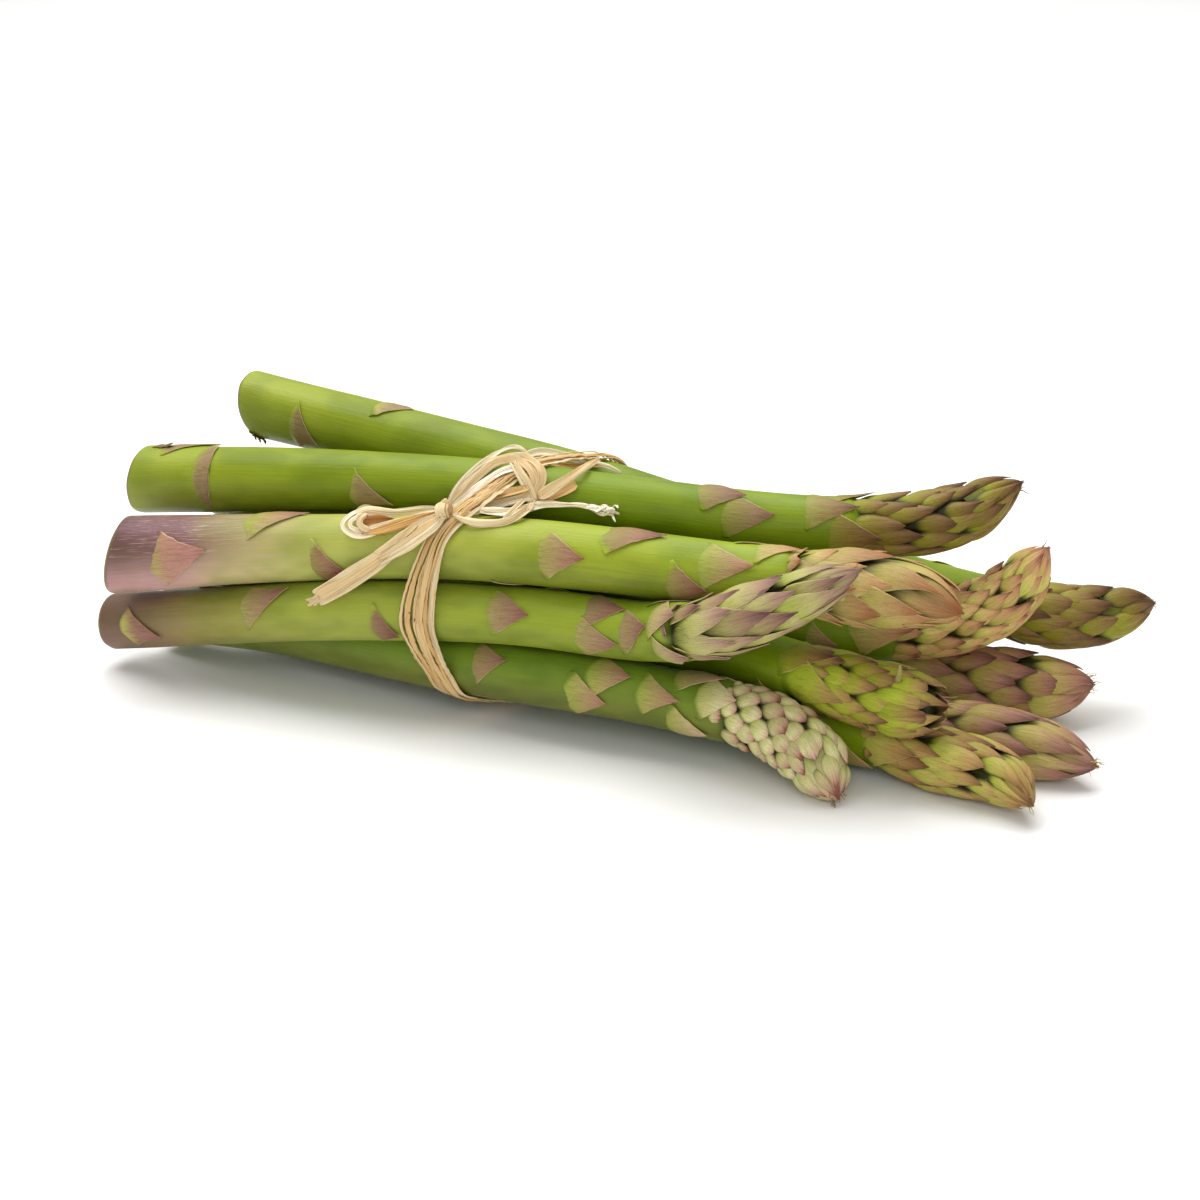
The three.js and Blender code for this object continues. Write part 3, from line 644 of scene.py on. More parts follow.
class Nodes:
    """Builds a material's nodes with short calls."""

    def __init__(self, name):
        self.material = bpy.data.materials.new(name)
        self.material.use_nodes = True
        self.tree = self.material.node_tree
        self.shader = self.tree.nodes["Principled BSDF"]

    def link(self, source, socket):
        if isinstance(source, bpy.types.NodeSocket):
            self.tree.links.new(source, socket)
        elif source is not None:
            socket.default_value = source

    def node(self, kind, *sources, **settings):
        """The outputs of a new node, whose inputs take the sources in their order."""
        node = self.tree.nodes.new("ShaderNode" + kind)
        for name, value in settings.items():
            setattr(node, name, value)
        for source, socket in zip(sources, node.inputs):
            self.link(source, socket)
        return node.outputs

    def attribute(self, name):
        """An attribute's vector and its three parts."""
        vector = self.node("Attribute", attribute_name=name)["Vector"]
        return vector, *self.node("SeparateXYZ", vector)

    def math(self, operation, a, b=0.0):
        return self.node("Math", a, b, operation=operation)[0]

    def swayed(self, value, noise, reach):
        """The value, pushed up and down by a noise."""
        sway = self.math("MULTIPLY", self.math("SUBTRACT", noise, 0.5), reach)
        return self.math("ADD", value, sway)

    def scaled(self, vector, factors):
        return self.node("VectorMath", vector, factors, operation="MULTIPLY")[0]

    def noise(self, vector, scale=1.0, detail=3.0, roughness=0.55):
        return self.node("TexNoise", vector, None, scale, detail, roughness)["Fac"]

    def spread(self, value, low, high, to_low=0.0, to_high=1.0):
        """The value between low and high, spread smoothly over another range."""
        ends = (low, high, to_low, to_high)
        return self.node("MapRange", value, *ends, interpolation_type="SMOOTHSTEP")[0]

    def ramp(self, value, stops):
        node = self.tree.nodes.new("ShaderNodeValToRGB")
        elements = node.color_ramp.elements
        while len(elements) < len(stops):
            elements.new(0.5)
        for element, (place, code) in zip(elements, stops.items()):
            element.position, element.color = place, linear(code)
        self.link(value, node.inputs[0])
        return node.outputs[0]

    def blend(self, share, a, b, kind="MIX"):
        colours = [linear(c) if isinstance(c, str) else c for c in (a, b)]
        others = [None] * 5  # the inputs of other types of data
        return self.node("Mix", share, *others, *colours, data_type="RGBA", blend_type=kind)[2]

    def tinted(self, base, value, low, high, most, colour, kind="MIX"):
        """The base with a colour over it where the value is high, by the most given."""
        return self.blend(self.spread(value, low, high, 0.0, most), base, colour, kind)

    def finish(self, colour, roughness, relief, bump, glow):
        """Sets the shader: bump is (strength, depth), and glow (weight, radii, scale)."""
        inputs = self.shader.inputs
        self.link(self.node("Bump", *bump, None, relief)[0], inputs["Normal"])
        self.link(colour, inputs["Base Color"])
        self.link(roughness, inputs["Roughness"])
        for value, part in zip(glow, ("Weight", "Radius", "Scale")):
            inputs["Subsurface " + part].default_value = value
        return self.material


# For each spear: the upper and lower side's colours along the stem, and a scale's colours from
# its foot to its tip, on the stem and on the head. The lower side's colours are partly the
# stem's own and partly painted shade, darker where the stem turns from the light. Places are
# shares of RAMP_REACH from the butt, and of the scale.
RAMP_REACH = 200.0
GREEN = {0: "9aa43a", 0.14: "86941a", 0.6: "768c08", 0.9: "7e920c"}
# the lower side's green, darker partly as painted shade
GREEN_LOW = {0: "8f963c", 0.2: "77841a", 0.6: "66780c", 0.9: "70820e"}
TAN = {0.1: "93a834", 0.4: "a09a52", 0.7: "a08660", 1: "8a604e"}
ROSE = {0.1: "9cac40", 0.4: "aa9c5c", 0.7: "ac8468", 1: "8e5a50"}
OLIVE = {0: "90a024", 0.35: "92882a", 0.7: "8a6c3c", 1: "603c24"}
PURPLE = {0: "b4bc48", 0.4: "bca65e", 0.7: "b07e68", 1: "643c3a"}
PALETTES = {
    "spear_top_back": (GREEN, GREEN_LOW, TAN, OLIVE),
    "spear_top_front": (GREEN, GREEN_LOW, TAN, OLIVE),
    "spear_front_upper": (
        {0: "6c4a4e", 0.11: "7c5856", 0.2: "a8986a", 0.3: "b2b25a", 0.6: "98a62a", 0.9: "8ea022"},
        {0: "ac8284", 0.1: "bc968c", 0.19: "c2b280", 0.3: "b0b45a", 0.6: "787e22", 0.9: "707a1c"},
        ROSE, {0: "b4b450", 0.35: "c2ae68", 0.7: "ba8e5e", 1: "a4683a"}),
    "spear_front_lower": (
        {0: "70524a", 0.07: "7a604c", 0.16: "8c8444", 0.3: "9aa23e", 0.62: "90a02a", 0.9: "869a26"},
        {0: "785a4e", 0.07: "846a50", 0.16: "948848", 0.3: "969c40", 0.62: "86922c", 0.9: "7c8a28"},
        {0.08: "a0a64c", 0.3: "a4945e", 0.65: "9c7860", 1: "84524a"},
        {0: "a8b04c", 0.35: "bab472", 0.65: "ac8c74", 1: "744850"}),
    "spear_front_bottom": (
        {0: "82923e", 0.3: "728a28", 0.6: "6c8424", 0.9: "788c28"},
        {0: "82923e", 0.3: "70742a", 0.6: "6c6e2a", 0.9: "727628"},
        ROSE, {0: "c4d06a", 0.6: "e2dca4", 0.85: "dab69a", 1: "a06656"}),
    "spear_centre": (
        GREEN, GREEN_LOW, ROSE, {0: "c0ce54", 0.4: "dac872", 0.75: "d8a476", 1: "905644"}),
    "spear_back_upper": (GREEN, GREEN_LOW, PURPLE, PURPLE),
    "spear_back_bottom": (
        GREEN, GREEN_LOW, PURPLE, {0: "b0b650", 0.4: "bca868", 0.7: "ac7e6c", 1: "704a46"}),
    "spear_middle": (
        GREEN, GREEN_LOW, TAN, {0: "98b020", 0.45: "aab434", 0.72: "ae9250", 1: "7c5040"}),
    "spear_middle_bottom": (
        GREEN, GREEN_LOW, TAN, {0: "acbc40", 0.4: "beb65a", 0.7: "ba965a", 1: "7c5838"}),
}
# The scales low on the stem, where they are dry or flushed.
LOW_SCALES = {"spear_front_upper": "c28c84", "spear_front_lower": "94625c"}
LOW_SCALE = "96805a"


def asparagus(spear):
    upper, lower, scale_colours, head_colours = PALETTES[spear.name]
    n = Nodes(spear.name)
    straight, along, _, high = n.attribute("straight")
    _, leaf, edge, mask = n.attribute("leaf")
    _, chance, dry, shade_depth = n.attribute("tone")

    streaks = n.noise(n.scaled(straight, (0.05, 2.2, 2.2)), 1.0, 4.0, 0.6)
    fine = n.noise(n.scaled(straight, (0.35, 6.0, 6.0)), 1.0, 3.0, 0.6)
    patches = n.noise(n.scaled(straight, (0.06, 0.14, 0.14)), 1.0, 2.0, 0.5)
    specks = n.noise(straight, 5.5, 2.0, 0.7)

    place = n.math("DIVIDE", n.swayed(n.swayed(along, patches, 20.0), streaks, 16.0), RAMP_REACH)
    # partly painted shade: the lower side's colours are darker where the stem turns from the light
    side = n.spread(n.swayed(high, streaks, 6.0), -5.0, 5.0)
    stem = n.blend(side, n.ramp(place, lower), n.ramp(place, upper))
    stem = n.tinted(stem, streaks, 0.45, 0.8, 0.35, "c4cf70", "SOFT_LIGHT")
    stem = n.tinted(stem, patches, 0.4, 0.7, 0.35, "7d9a20", "MULTIPLY")

    if spear.slot == "spear_pink_butt":
        # painted highlight: pale streaks along the top of the pink butt, where the light falls
        gloss = n.noise(n.scaled(straight, (0.12, 7.0, 7.0)), 1.0, 2.0, 0.6)
        top_highlight = n.math("MULTIPLY", n.spread(along, 20, 55, 1.0, 0.0), n.spread(high, 0.0, 4.0))
        top_highlight = n.math("MULTIPLY", top_highlight, n.spread(gloss, 0.56, 0.7, 0.0, 0.5))
        stem = n.blend(top_highlight, stem, "dcc8c0")

    grown = n.swayed(n.swayed(leaf, streaks, 0.35), chance, 0.25)
    in_head = n.spread(along, spear.stem - 14, spear.stem + 2)
    bract = n.blend(in_head, n.ramp(grown, scale_colours), n.ramp(grown, head_colours))
    low = n.ramp(grown, {0.12: "b6b058", 0.38: LOW_SCALES.get(spear.name, LOW_SCALE)})
    low_reach = (25, 38) if spear.name in LOW_SCALES else (70, 120)
    bract = n.blend(n.spread(along, *low_reach, 0.75, 0.0), bract, low)
    bract = n.tinted(bract, chance, 0.2, 1.0, 0.45, "b8a488", "MULTIPLY")
    bract = n.tinted(bract, fine, 0.42, 0.7, 0.38, "946a42", "MULTIPLY")
    bract = n.tinted(bract, specks, 0.5, 0.7, 0.35, "8c6450", "MULTIPLY")
    bract = n.tinted(bract, edge, 0.3, 0.95, 0.8, "dccf9a")
    covered = n.swayed(n.swayed(mask, fine, 0.7), specks, 0.8)
    skin = n.blend(n.spread(covered, 0.25, 0.85), stem, bract)
    skin = n.blend(n.spread(n.swayed(dry, fine, 0.5), 0.15, 0.9), skin, "6e5a30")
    # painted shade: darkens the crevices between scales and the head's core under them
    skin = n.tinted(skin, shade_depth, 0.06, 0.65, 0.95, "302c0c", "MULTIPLY")
    cut = n.spread(n.math("MULTIPLY", mask, -1.0), 0.3, 0.8)
    flesh = n.ramp(n.noise(straight, 1.3, 5.0, 0.7), {0.3: "a8a468", 0.5: "cbc48e", 0.7: "b9b274"})
    skin = n.blend(cut, skin, flesh)

    rough = n.math("ADD", n.spread(streaks, 0.3, 0.7, 0.33, 0.45), n.math("MULTIPLY", mask, 0.1))
    relief = n.math("ADD", n.math("MULTIPLY", streaks, 0.7), n.math("MULTIPLY", fine, 0.4))
    n.shader.inputs["Specular IOR Level"].default_value = 0.22
    return n.finish(skin, rough, relief, (0.7, 0.00022), (0.1, (0.9, 1.0, 0.25), 0.0012))


def raffia():
    n = Nodes("raffia")
    straight, *_ = n.attribute("straight")
    _, pale, painted_shade, shade_depth = n.attribute("tone")
    streaks = n.noise(n.scaled(straight, (0.05, 3.2, 1.0)), 1.0, 4.0, 0.65)
    lines = n.noise(n.scaled(straight, (0.03, 7.0, 1.0)), 1.0, 2.0, 0.5)
    patches = n.noise(n.scaled(straight, (0.12, 0.3, 1.0)), 1.0, 3.0, 0.5)
    gold_to_pale = {0: "d39f52", 0.25: "dab57a", 0.5: "e0c695", 0.75: "ebd9b0", 1: "f8efd8"}
    straw = n.ramp(n.swayed(pale, streaks, 0.9), gold_to_pale)
    straw = n.tinted(straw, patches, 0.55, 0.72, 0.5, "dda95e")
    straw = n.tinted(straw, lines, 0.58, 0.65, 0.7, "86592f")
    # painted shade: darkens the knot's core and, a little, each strand's edges
    straw = n.tinted(straw, shade_depth, 0.2, 1.0, 0.7, "8a6034", "MULTIPLY")
    # painted shade: darkens the strand that stands for the shade inside the left loop
    straw = n.tinted(straw, painted_shade, 0.2, 1.0, 0.6, "b08a45", "MULTIPLY")
    rough = n.spread(streaks, 0.3, 0.7, 0.5, 0.68)
    relief = n.math("ADD", streaks, n.math("MULTIPLY", lines, 0.5))
    return n.finish(straw, rough, relief, (0.9, 0.0002), (0.15, (1.0, 0.7, 0.35), 0.0008))


# ---- Raffia ----

WRAP_WIDTHS = [9, 5.5, 5, 4.5, 6, 6, 5, 8]
WRAP_AIR = 0.6  # under the strands
WRAP_SPREAD = 0.92
WRAP_ROWS, WRAP_SWAY = 170, 0.4
SKIN_LEANS = np.radians(np.arange(-75, 76, 5))
RIBBON_ROW = 0.7
CUP, CRINKLE = 0.3, 0.18  # how far a strand's sides stand up, and how deep its folds are
END_WIDTH, END_SHARE = 0.6, 0.04  # a strand narrows to this share of its width at its ends
# The wrap's strands: (place across, as a share of its width, share of its width, height,
# paleness).
WRAP_STRANDS = [(-0.45, 0.09, 0.35, 0.42), (-0.28, 0.17, 0.2, 0.22), (-0.07, 0.1, 0.4, 0.37),
                (0.1, 0.22, 0.55, 0.32), (0.27, 0.08, 0.7, 0.17), (0.39, 0.22, 0.2, 0.64)]


def eased(values, place):
    """A value at each place between the values of a list, which goes on from its start again."""
    values = np.atleast_1d(np.array(values, float))
    index = np.floor(place).astype(int)
    after = values[(index + 1) % len(values)]
    return mix(values[index % len(values)], after, smooth(place - index))


def around(values, turn):
    """A smooth value from a list spread evenly round a full turn."""
    return eased(values, (turn % 360) * len(values) / 360)


def spaced(values, count):
    """Values from a list spread evenly over a number of rows."""
    return eased(values, np.linspace(0, np.size(values) - 1, count))


def skin_reach(x, turn):
    """How far out a stretched skin round the spears stands at x and a turn round their middle."""
    reach = []
    for xi, ti in zip(x, np.radians(turn)):
        centres, radii = [], []
        for spear in spears.values():
            points, radius = spear.outline
            centres.append([np.interp(xi, points[:, 0], points[:, k]) for k in (1, 2)])
            radii.append(np.interp(xi, points[:, 0], radius))
        y, z = (np.array(centres) - BUNCH_MIDDLE[1:]).T[..., None]
        facing = ti + SKIN_LEANS
        edge = (np.array(radii)[:, None] - y * np.cos(facing) + z * np.sin(facing)).max(0)
        reach.append((edge / np.cos(SKIN_LEANS)).min())
    return np.array(reach)


def strand(skin, random, centres, out, width, pale, thickness=0.24, crinkle=CRINKLE, painted_shade=0.0,
           looped=False):
    """Adds one flat strand along a row of centres, facing out, cupped and crinkled like dry leaf."""
    tangent = unit(np.gradient(centres, axis=0))
    across = unit(np.cross(tangent, out))
    face = np.cross(across, tangent)
    s = np.r_[0, np.cumsum(np.linalg.norm(np.diff(centres, axis=0), axis=1))]
    side = np.linspace(-1, 1, 9)
    wave = ripple(random, 8, 0.9, 0)
    folds = random.normal(0, 1, 4)
    width = np.broadcast_to(width, s.shape) * (1 + 0.15 * ripple(random, 6, 0.6, 0)(s, 0 * s))
    if not looped:
        t = s / s[-1]
        for from_end in (t, 1 - t):
            width = width * mix(END_WIDTH, 1, smooth(from_end / END_SHARE))
    s2, j = np.meshgrid(s, side, indexing="ij")
    shape = CUP * (j**2 - 0.4) * (0.6 + 0.5 * wave(s2 * 0.4, 0 * s2)) * width[:, None] / 3
    folded = folds[0] * np.sin(3.0 * j + 0.25 * s2 + folds[1])
    shape = shape + crinkle * (folded + 0.7 * wave(s2, 60 * j) * np.abs(j))
    j = both(j)
    height = np.concatenate([shape + thickness / 2, shape[:, ::-1] - thickness / 2], 1)
    aside = j * width[:, None] / 2
    grid = centres[:, None] + across[:, None] * aside[..., None] + face[:, None] * height[..., None]
    grid[..., 2] = np.maximum(grid[..., 2], 0.02)
    straight = np.stack([both(s2), aside, np.full(j.shape, 40 * random.random())], -1)
    # painted shade, a little darker towards the strand's edges
    edge = np.abs(j) ** 6 * 0.35
    tone = np.stack([np.full(j.shape, pale), np.full(j.shape, painted_shade), edge], -1)
    skin.tube(grid, straight, np.zeros(3), tone, both(s2), looped)


def line_strand(skin, random, points, width, pale, aside=(0,), lift=0.0, **more):
    """A strand along a smooth line, facing away from the middle of the bunch."""
    line = Line(points)
    s = np.linspace(0, line.length, max(4, int(line.length / RIBBON_ROW)))
    centres, tangent = line.at(s), line.tangent(s)
    out = centres - BUNCH_MIDDLE
    out[:, 0] = 0
    across = unit(np.cross(tangent, out))
    out = np.cross(across, tangent)
    shift = spaced(aside, len(s))[:, None]
    strand(skin, random, centres + out * lift + across * shift, out, spaced(width, len(s)), pale, **more)


def wrap(skin, random):
    turn = np.linspace(0, 360, WRAP_ROWS, endpoint=False)
    a = np.radians(turn)
    out = np.stack([0 * a, -np.cos(a), np.sin(a)], -1)
    for share, width, layer, pale in WRAP_STRANDS:
        sway = WRAP_SWAY * ripple(random, 4, 0.03, 0)(turn, 0 * turn) * np.sin(a / 2)
        x = wrap_place(turn) + share * around(WRAP_WIDTHS, turn) * WRAP_SPREAD + sway
        centres = out * (skin_reach(x, turn) + WRAP_AIR + layer)[:, None] + BUNCH_MIDDLE
        centres[:, 0] = x
        centres[:, 2] = np.maximum(centres[:, 2], 0.3)
        strand(skin, random, centres, out, width * around(WRAP_WIDTHS, turn), pale, looped=True)


BRIDGE = 5  # rows over which a strand spans a hollow
BOW_REACH = 70  # no part of the bow lies further along the bunch from the tie
SEARCH_STEPS = 30
SEARCH_FRONT, SEARCH_BACK = 60, 8  # where the search for the spears begins and ends
BOW_AIR, BOW_LEAN = 0.4, 0.2  # the room under the strands, and how far they lean


def bridged(front):
    """Heights along a strand that is too stiff to follow every hollow."""
    width = 2 * BRIDGE + 1
    edged = np.pad(front, BRIDGE, mode="edge")
    highest = np.array([edged[i:i + width].max() for i in range(len(front))])
    weights = np.hanning(width + 2)[1:-1]
    rounded = np.convolve(np.pad(highest, BRIDGE, mode="edge"), weights / weights.sum(), "valid")
    return np.maximum(rounded, front)


def draped(skin, random, route, width, lift, pale, crinkle=CRINKLE, painted_shade=0.0):
    """A strand drawn across and up the view of the tie's middle, and laid over the spears."""
    line = Line([(*place, 0) for place in route])
    s = np.linspace(0, line.length, max(5, int(line.length / RIBBON_ROW)))
    across, above = line.at(s)[:, :2].T
    target = TIE_MIDDLE + across[:, None] * RIGHT + above[:, None] * UP
    whole = np.linalg.norm(target - EYE, axis=1)
    ray = (target - EYE) / whole[:, None]
    reach = whole - SEARCH_FRONT
    for _ in range(SEARCH_STEPS):
        step = height_over(EYE + ray * reach[:, None], near_tie)
        reach = np.minimum(reach + step, whole + SEARCH_BACK)
    front = bridged(whole - reach) + spaced(lift, len(s)) + BOW_AIR
    centres = EYE + ray * (whole - front)[:, None]
    tangent = unit(np.gradient(centres, axis=0))
    side = unit(np.cross(tangent, -ray))
    lean = BOW_LEAN * ripple(random, 4, 0.25, 0)(s, 0 * s)[:, None]
    out = -ray + side * lean + (0, 0, 0.4)
    strand(skin, random, centres, out, spaced(width, len(s)), pale, crinkle=crinkle, painted_shade=painted_shade)


# Strands of the bow: route across and up the view, widths and heights over the spears along
# it, paleness from 0 (golden) to 1, and for some how crinkled and how much painted shade darkens them.
BOW = [
    # the tall loop
    ([(-8.2, 16.7), (-6.8, 20), (-4.5, 23), (-1.9, 25.4), (0.5, 27.3), (2.8, 28.7), (4.9, 29.8),
      (7, 30.5), (8.9, 30.3), (10.3, 29.1), (11.5, 27.7)], (0.9, 1.1, 1.0), (1, 0.6), 0.8),
    ([(-8.2, 16.4), (-6.1, 19.7), (-3.5, 22.8), (-0.9, 25.1), (1.6, 27), (4.2, 27.7), (7, 28.2),
      (9.9, 28.2), (12, 26.8), (13.4, 24.7), (13.6, 22.6), (12.9, 20.4), (12.5, 18.3), (11.8, 16.2)],
      (1.2, 1.8, 1.9, 2, 1.8, 1.4), (1, 0.5, 0.9), 0.6),
    ([(-8, 16.2), (-5.4, 19), (-2.8, 21.6), (0, 24.4), (2.8, 26.6), (5.9, 27.5), (8.7, 27.3), (11, 25.6),
      (12.2, 23.3), (12.5, 20.9), (12, 18.6), (10.8, 16.4), (9.4, 14.8)], (1.2, 1.7, 1.8, 1.6),
      (1, 0.7, 0.5), 0.45),
    # from the knot up through the loop
    ([(-7.8, 16), (-4.7, 18.1), (-1.6, 20.4), (1.4, 22.8), (4.5, 24.7), (7.8, 25.8)],
      (1, 1.7, 2.2, 2, 1.6), (2, 1.6), 1),
    ([(-7.8, 15.5), (-4.9, 17.4), (-1.9, 19), (1.2, 20.7), (3.8, 22.6), (5.9, 24.4), (7.5, 26.1)],
      (1, 1.5, 1.4), (1, 0.5), 0.5),
    ([(-7, 15.7), (-3.3, 17.9), (0, 19.3), (2.6, 20.9), (4.2, 22.6)], (0.6, 0.8, 0.6), (1.4, 0.8), 0.75),
    # folds at its far side
    ([(7.8, 27.3), (8.9, 25.1), (10.3, 23), (11.5, 20.4), (12.5, 17.9)], (1.3, 1.7, 1.3), (1.3, 1.6),
      0.5),
    ([(6.6, 26.8), (8.2, 24), (9.9, 20.9), (11.3, 18.1)], (0.7, 0.8), (1.4, 1.8), 0.75),
    ([(9.4, 28.2), (12.2, 27), (13.9, 24.9), (14.1, 22.6), (13.2, 20.7), (12.7, 18.6)], (1.2, 2, 1.6),
      (0.8, 0.9), 0.4),
    # from the knot into the right bow
    ([(-7.5, 15), (-4.9, 16.4), (-1.9, 17.6), (1.4, 18.8), (4.7, 19.5), (8, 20.2), (11, 20.9)],
      (1.2, 2.2, 2.4, 2.2, 1.8), (3.6, 3.6, 2.6, 2), 0.2),
    ([(-7.5, 14.8), (-4.5, 15.5), (-1.2, 16.2), (2.1, 16.9), (5.4, 17.6), (8.5, 18.3), (11.3, 19.5)],
      (1.2, 2, 2.1, 1.6), (3.2, 3.2, 2.2, 1.8), 0.5),
    ([(-7, 14.6), (-3.3, 14.8), (0.2, 15.5), (3.5, 16.4), (6.6, 17.4), (9.4, 18.1), (12, 18.1)],
      (0.8, 1, 0.8), (3, 2.8, 2), 0.85),
    # the low loop
    ([(-6.8, 14.6), (-4.2, 13.6), (-1.2, 12.9), (1.9, 12.7), (4.2, 12.7), (6.8, 13.4), (9.4, 15),
      (11.3, 16.4), (12.2, 18.1)], (1, 1.8, 2, 1.6, 1.2), (0.9, 0.3, 0.8), 0.6),
    ([(10.3, 18.6), (8.2, 16.7), (6.3, 15), (4.7, 13.4)], (0.9, 1.1, 0.7), (1.2, 1), 0.6),
    ([(11.3, 17.4), (10.1, 15.5), (8.9, 14.1)], (0.7, 0.7), (1.1, 0.8), 0.7),
    # ends that run on to the right
    ([(8.7, 27.5), (11.3, 28.9), (14.1, 29.4), (17.4, 28.9), (20.7, 28), (24, 27), (27.3, 26.6),
      (30.1, 25.8), (32.9, 24.4)], (1.4, 2.2, 2.2, 1.8, 1.6, 1, 0.5), (0.8, 0.5, 0.3), 0.8),
    ([(10.3, 27.3), (13.9, 27.3), (17.4, 26.6), (20.9, 26.1), (24.4, 26.3), (27.7, 26.1)],
      (1.2, 1.4, 1.2, 0.8), (0.4, 0.4), 0.1),
    # the broad end that comes back
    ([(27.6, 27.6), (25.6, 26.6), (23, 25), (19.7, 22.8), (16.4, 20.7), (13.4, 18.8)],
      (0.8, 1.8, 2.4, 2.6, 2.5, 2), (1.2, 1.2, 1.5), 0.45),
    ([(22.1, 21.9), (19, 20.2), (16.2, 19), (13.4, 18.3)], (2.2, 2.5, 2.4, 1.8), (0.4, 0.5), 0.2),
    # a dark strand inside the left loop, painted shade standing for the shade in the loop's hollow
    ([(-20.5, 13.2), (-23, 13.2), (-26, 13.1), (-28.6, 12.9)], (1.2, 2.2, 2.4), (0.1, 0.1), 0, 0.18, 1.2),
    # the left loop
    ([(-10.8, 15.8), (-14, 15.4), (-17.1, 15), (-20, 14.8), (-22.8, 14.9), (-25.5, 15.2), (-27.6, 15.4),
      (-29.4, 14.4), (-30.3, 13.1)], (1.6, 2.2, 2.2, 2, 2.2, 2.6, 2.4, 1.6), (1.2, 0.7, 0.8, 0.8), 0.62),
    ([(-10.8, 16.4), (-15, 16.2), (-19, 15.8), (-22.6, 15.6), (-25.4, 16.2), (-27.6, 16.6),
      (-29.4, 15.7)], (0.5, 0.8, 0.8, 0.9, 0.8), (1.3, 0.9, 1.1), 0.85),
    ([(-27, 16), (-29.6, 15.3), (-31.6, 14), (-32.8, 12.5), (-32.2, 11), (-30.4, 9.9), (-28, 9.6),
      (-25.6, 10.2), (-22.6, 11.4)], (0.8, 1, 1.1, 1.4, 1.2, 0.6), (1, 1, 0.6, 0.6, 0.2), 0.9, 0.2),
    ([(-27.6, 14.8), (-29.6, 14), (-31, 12.9), (-30.9, 11.7), (-29.3, 11), (-27.2, 10.8)], (0.9, 1, 1),
      (0.8, 0.5, 0.8), 0.8),
    ([(-27, 14.8), (-28.6, 13.8), (-28.9, 12.4), (-27.6, 11.3), (-25.6, 10.9)], (1.2, 1.6, 1.6),
      (0.9, 1, 1), 0.55),
    ([(-10.6, 15.1), (-14.4, 14), (-18.5, 12.7), (-22, 11.5), (-25.8, 10.5), (-28.4, 10.1)],
      (1.2, 1.8, 2, 1.8, 0.6), (1.2, 0.8, 0.9, 0.5), 0.02),
    ([(-11, 15.4), (-15, 14.4), (-19, 13.4), (-23, 12.4), (-26.6, 11.4)], (0.6, 0.9, 1.2, 1),
      (1.4, 1.1, 1.1), 0.75),
    # over the left tail's start
    ([(-9.6, 14.8), (-12, 13.4), (-14.8, 12), (-18, 10.1), (-21.4, 7.9), (-25.4, 5.6)],
      (1.4, 2.2, 2.1, 1.6, 0.6), (2.6, 3.1, 2.9, 2.3, 1.4), 0.6),
    ([(-9.2, 14.4), (-11.4, 12.6), (-14, 10.8), (-17.2, 8.6), (-20.6, 6.4), (-24.4, 4.2)],
      (1.2, 2, 2, 1.6, 0.6), (2.8, 3.2, 3, 2.4, 1.5), 0.48),
    ([(-8.9, 14), (-11, 11.8), (-13.8, 9.5), (-17, 7.3), (-20.4, 5.2), (-24, 3)], (1, 1.7, 1.8, 1.5, 0.6),
      (2.6, 3.1, 3, 2.3, 1.3), 0.65),
    # the knot
    ([(-9, 18), (-10.2, 16.9), (-10.5, 15.5), (-10, 14.1), (-8.8, 12.8)], (0.9, 1.2, 1.2, 0.9),
      (-0.5, 3, 3.4, 3, -0.5), 0.7, 0.25),
    ([(-8.4, 18.4), (-9.3, 17.2), (-9.5, 15.7), (-9, 14.2), (-8.1, 13)], (0.8, 1.1, 1.1, 0.8),
      (-0.5, 3.4, 3.8, 3.2, -0.5), 0.5, 0.25),
    ([(-7.8, 17.6), (-8.4, 16.6), (-8.6, 15.6), (-8.2, 14.4), (-7.6, 13.4)], (0.6, 0.8, 0.8, 0.6),
      (-0.5, 2.8, 3.2, 2.6, -0.5), 0.4, 0.2),
]
KNOT_MIDDLE, KNOT_RADII = (0.3, -16.6, 52.4), (1.7, 2, 2.3)
# The free ends: each one's middle line, its strands beside that line, and how its end is frayed.
TAILS = {
    "raffia_tail_left": dict(
        width=4.6,
        line=[(-3.6, -22.3, 49.6), (-6.4, -24.4, 46.7), (-10, -25.8, 42.8), (-15, -26.6, 38.6),
              (-20, -27.2, 34.8), (-24, -28, 32), (-27.5, -28.8, 29.5)],
        strands=[dict(width=(1.2, 2, 2.2, 1.8), aside=(-0.6, -1.3, -1.4, -1.2), pale=0.55),
                 dict(width=(1.2, 2, 2.4, 2), aside=(0.1, 0.1, 0.2, 0.3), pale=0.4, lift=0.25),
                 dict(width=(1, 1.6, 1.8, 1.2), aside=(0.7, 1.4, 1.6, 1.7), pale=0.65)],
        frayed=dict(count=9, length=(2, 4), spread=2.0, bend=0.3, pale=0.5)),
    "raffia_tail_right": dict(
        width=2.6,
        line=[(8.2, -14.6, 52.6), (10.5, -12.8, 52.2), (13.5, -9.8, 52), (18, -5.4, 52.6),
              (23, -3.6, 53.2), (28.5, -2.2, 53.2), (35.5, -1, 52.2)],
        strands=[dict(width=(1.8, 3.0, 2.8, 1.7, 1.3, 2.0, 1.8), aside=(0.1,), pale=1.0),
                 dict(width=(0.8, 1.2, 1.2, 0.8, 0.7, 1.4), aside=(-0.6, -0.4, -0.1, -0.5), pale=0.8,
                      lift=0.2)],
        frayed=dict(count=12, length=(4.5, 7.5), spread=2.4, bend=1.1, pale=1.0, back=6.5)),
}


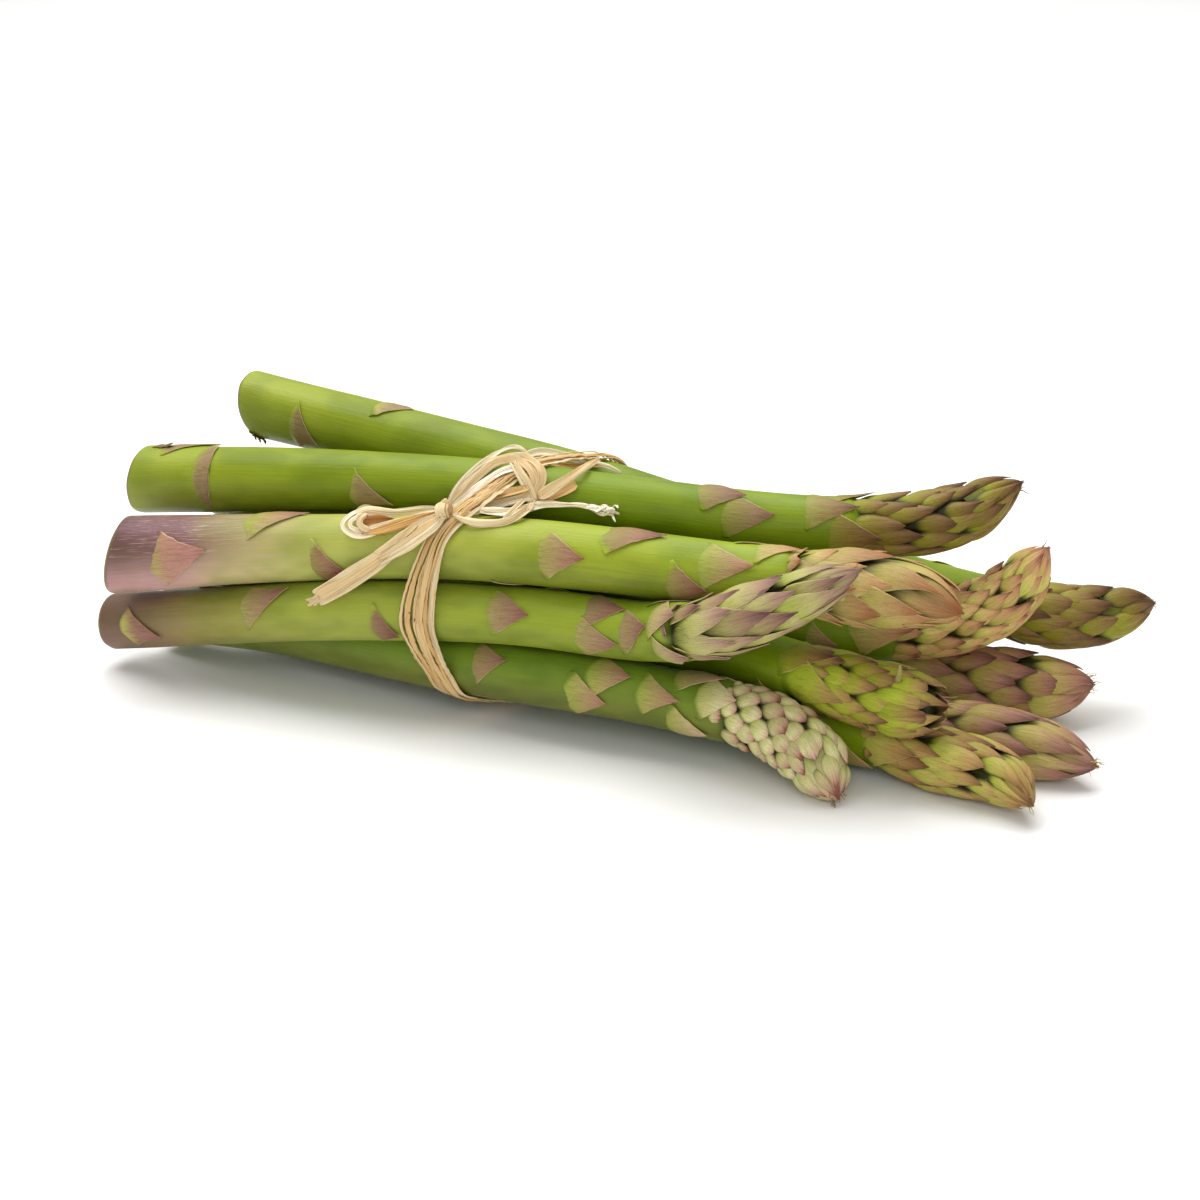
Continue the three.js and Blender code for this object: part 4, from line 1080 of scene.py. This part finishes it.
def fray(skin, random, line, count, length, spread, bend, pale, back=1.0):
    """Thin crumpled strips that a free end splits into."""
    start, way = line.at(line.length - back), line.tangent(line.length - back)
    out = unit(start - BUNCH_MIDDLE * (0, 1, 1) - (start[0], 0, 0))
    across = unit(np.cross(way, out))
    for k in np.linspace(-1, 1, count):
        reach = np.linspace(0, random.uniform(*length), 9)
        share = reach / reach[-1]
        wave = ripple(random, 5, 1.6, 0)
        aside = k * spread * (0.35 + 0.65 * share) * 0.5 + bend * share * wave(reach, 0 * reach)
        up = 0.3 + bend * share * ripple(random, 5, 1.6, 0)(reach, 0 * reach)
        centres = start + way * reach[:, None] + across * aside[:, None] + out * up[:, None]
        leaning = out + across * random.normal(0, 0.4)
        width = random.uniform(0.4, 0.8)
        strand(skin, random, centres, leaning, width, pale, thickness=0.2, crinkle=0.06)


def knot_core(skin):
    """What the strands of the knot are wound round, darkened with painted shade."""
    rise = np.linspace(-0.49, 0.49, 13)[:, None] * math.pi
    turn = np.linspace(0, 2 * math.pi, 18, endpoint=False)[None]
    level = np.cos(rise)
    ball = np.stack([level * np.cos(turn), level * np.sin(turn), np.sin(rise) + 0 * turn], -1)
    grid = np.array(KNOT_MIDDLE) + ball * KNOT_RADII
    # the third tone value paints shade on the core
    skin.tube(grid, grid, np.zeros(3), (0.4, 0, 0.6), np.zeros(grid.shape[:2]))


def shown(mesh, name, material, slot, *nodes):
    """Shows a mesh as one piece of the bunch, in place of its nodes."""
    mesh.materials.append(material)
    facing_out(mesh)
    piece = bpy.data.objects.new(name, mesh)
    bpy.context.scene.collection.objects.link(piece)
    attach(piece, "root")
    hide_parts(*nodes)
    return piece


# ---- Pieces ----

raffia_material = raffia()
random = np.random.default_rng(5)

for name, tail in TAILS.items():
    skin = Skin()
    for strip in tail["strands"]:
        line_strand(skin, random, tail["line"], **strip)
    fray(skin, random, Line(tail["line"]), **tail["frayed"])
    piece = shown(skin.mesh(name), name + "_strands", raffia_material, "raffia", name)

centres, radii = (np.concatenate(parts) for parts in zip(*(spear.outline for spear in spears.values())))
is_near = np.abs(centres[:, 0]) < BOW_REACH
near_tie = (centres[is_near], radii[is_near])

tie = Skin()
wrap(tie, random)
knot_core(tie)
for ribbon in BOW:
    draped(tie, random, *ribbon)
shown(tie.mesh("raffia_tie"), "raffia_tie_strands", raffia_material, "raffia", "raffia_tie")

for spear in spears.values():
    skin = Skin()
    stem_skin(skin, spear)
    stem_scales(skin, spear)
    head_scales(skin, spear)
    shown(skin.mesh(spear.name, spear), spear.name + "_skin", asparagus(spear), spear.slot, spear.name)


# ---- Studio ----

def studio():
    scene = bpy.context.scene
    scene.view_settings.view_transform = "Standard"
    floor = bpy.data.meshes.new("floor")
    floor.from_pydata([(-4, -4, 0), (4, -4, 0), (4, 4, 0), (-4, 4, 0)], [], [(0, 1, 2, 3)])
    paper = Nodes("paper")
    grain = paper.noise(paper.node("TexCoord")["Object"], 30.0)
    paper.link(paper.ramp(grain, {0.3: "f4f4f2", 0.7: "f7f7f5"}), paper.shader.inputs["Base Color"])
    paper.shader.inputs["Roughness"].default_value = 0.9
    floor.materials.append(paper.material)
    ground = bpy.data.objects.new("floor", floor)
    scene.collection.objects.link(ground)

    world = bpy.data.worlds.new("studio")
    world.use_nodes = True
    world.node_tree.nodes["Background"].inputs["Color"].default_value = (1, 1, 1, 1)
    world.node_tree.nodes["Background"].inputs["Strength"].default_value = 0.5
    scene.world = world

    def softbox(name, place, size, power):
        light = bpy.data.lights.new(name, "AREA")
        light.shape, light.size, light.size_y, light.energy = "RECTANGLE", *size, power
        box = bpy.data.objects.new(name, light)
        box.location = place
        box.rotation_euler = (Vector((0, 0, 0.02)) - Vector(place)).to_track_quat("-Z", "Y").to_euler()
        scene.collection.objects.link(box)

    softbox("light_key", (-0.25, 0.2, 0.9), (1.1, 0.9), 13)
    softbox("light_front", (0.5, -0.9, 0.6), (0.6, 0.6), 3)


studio()
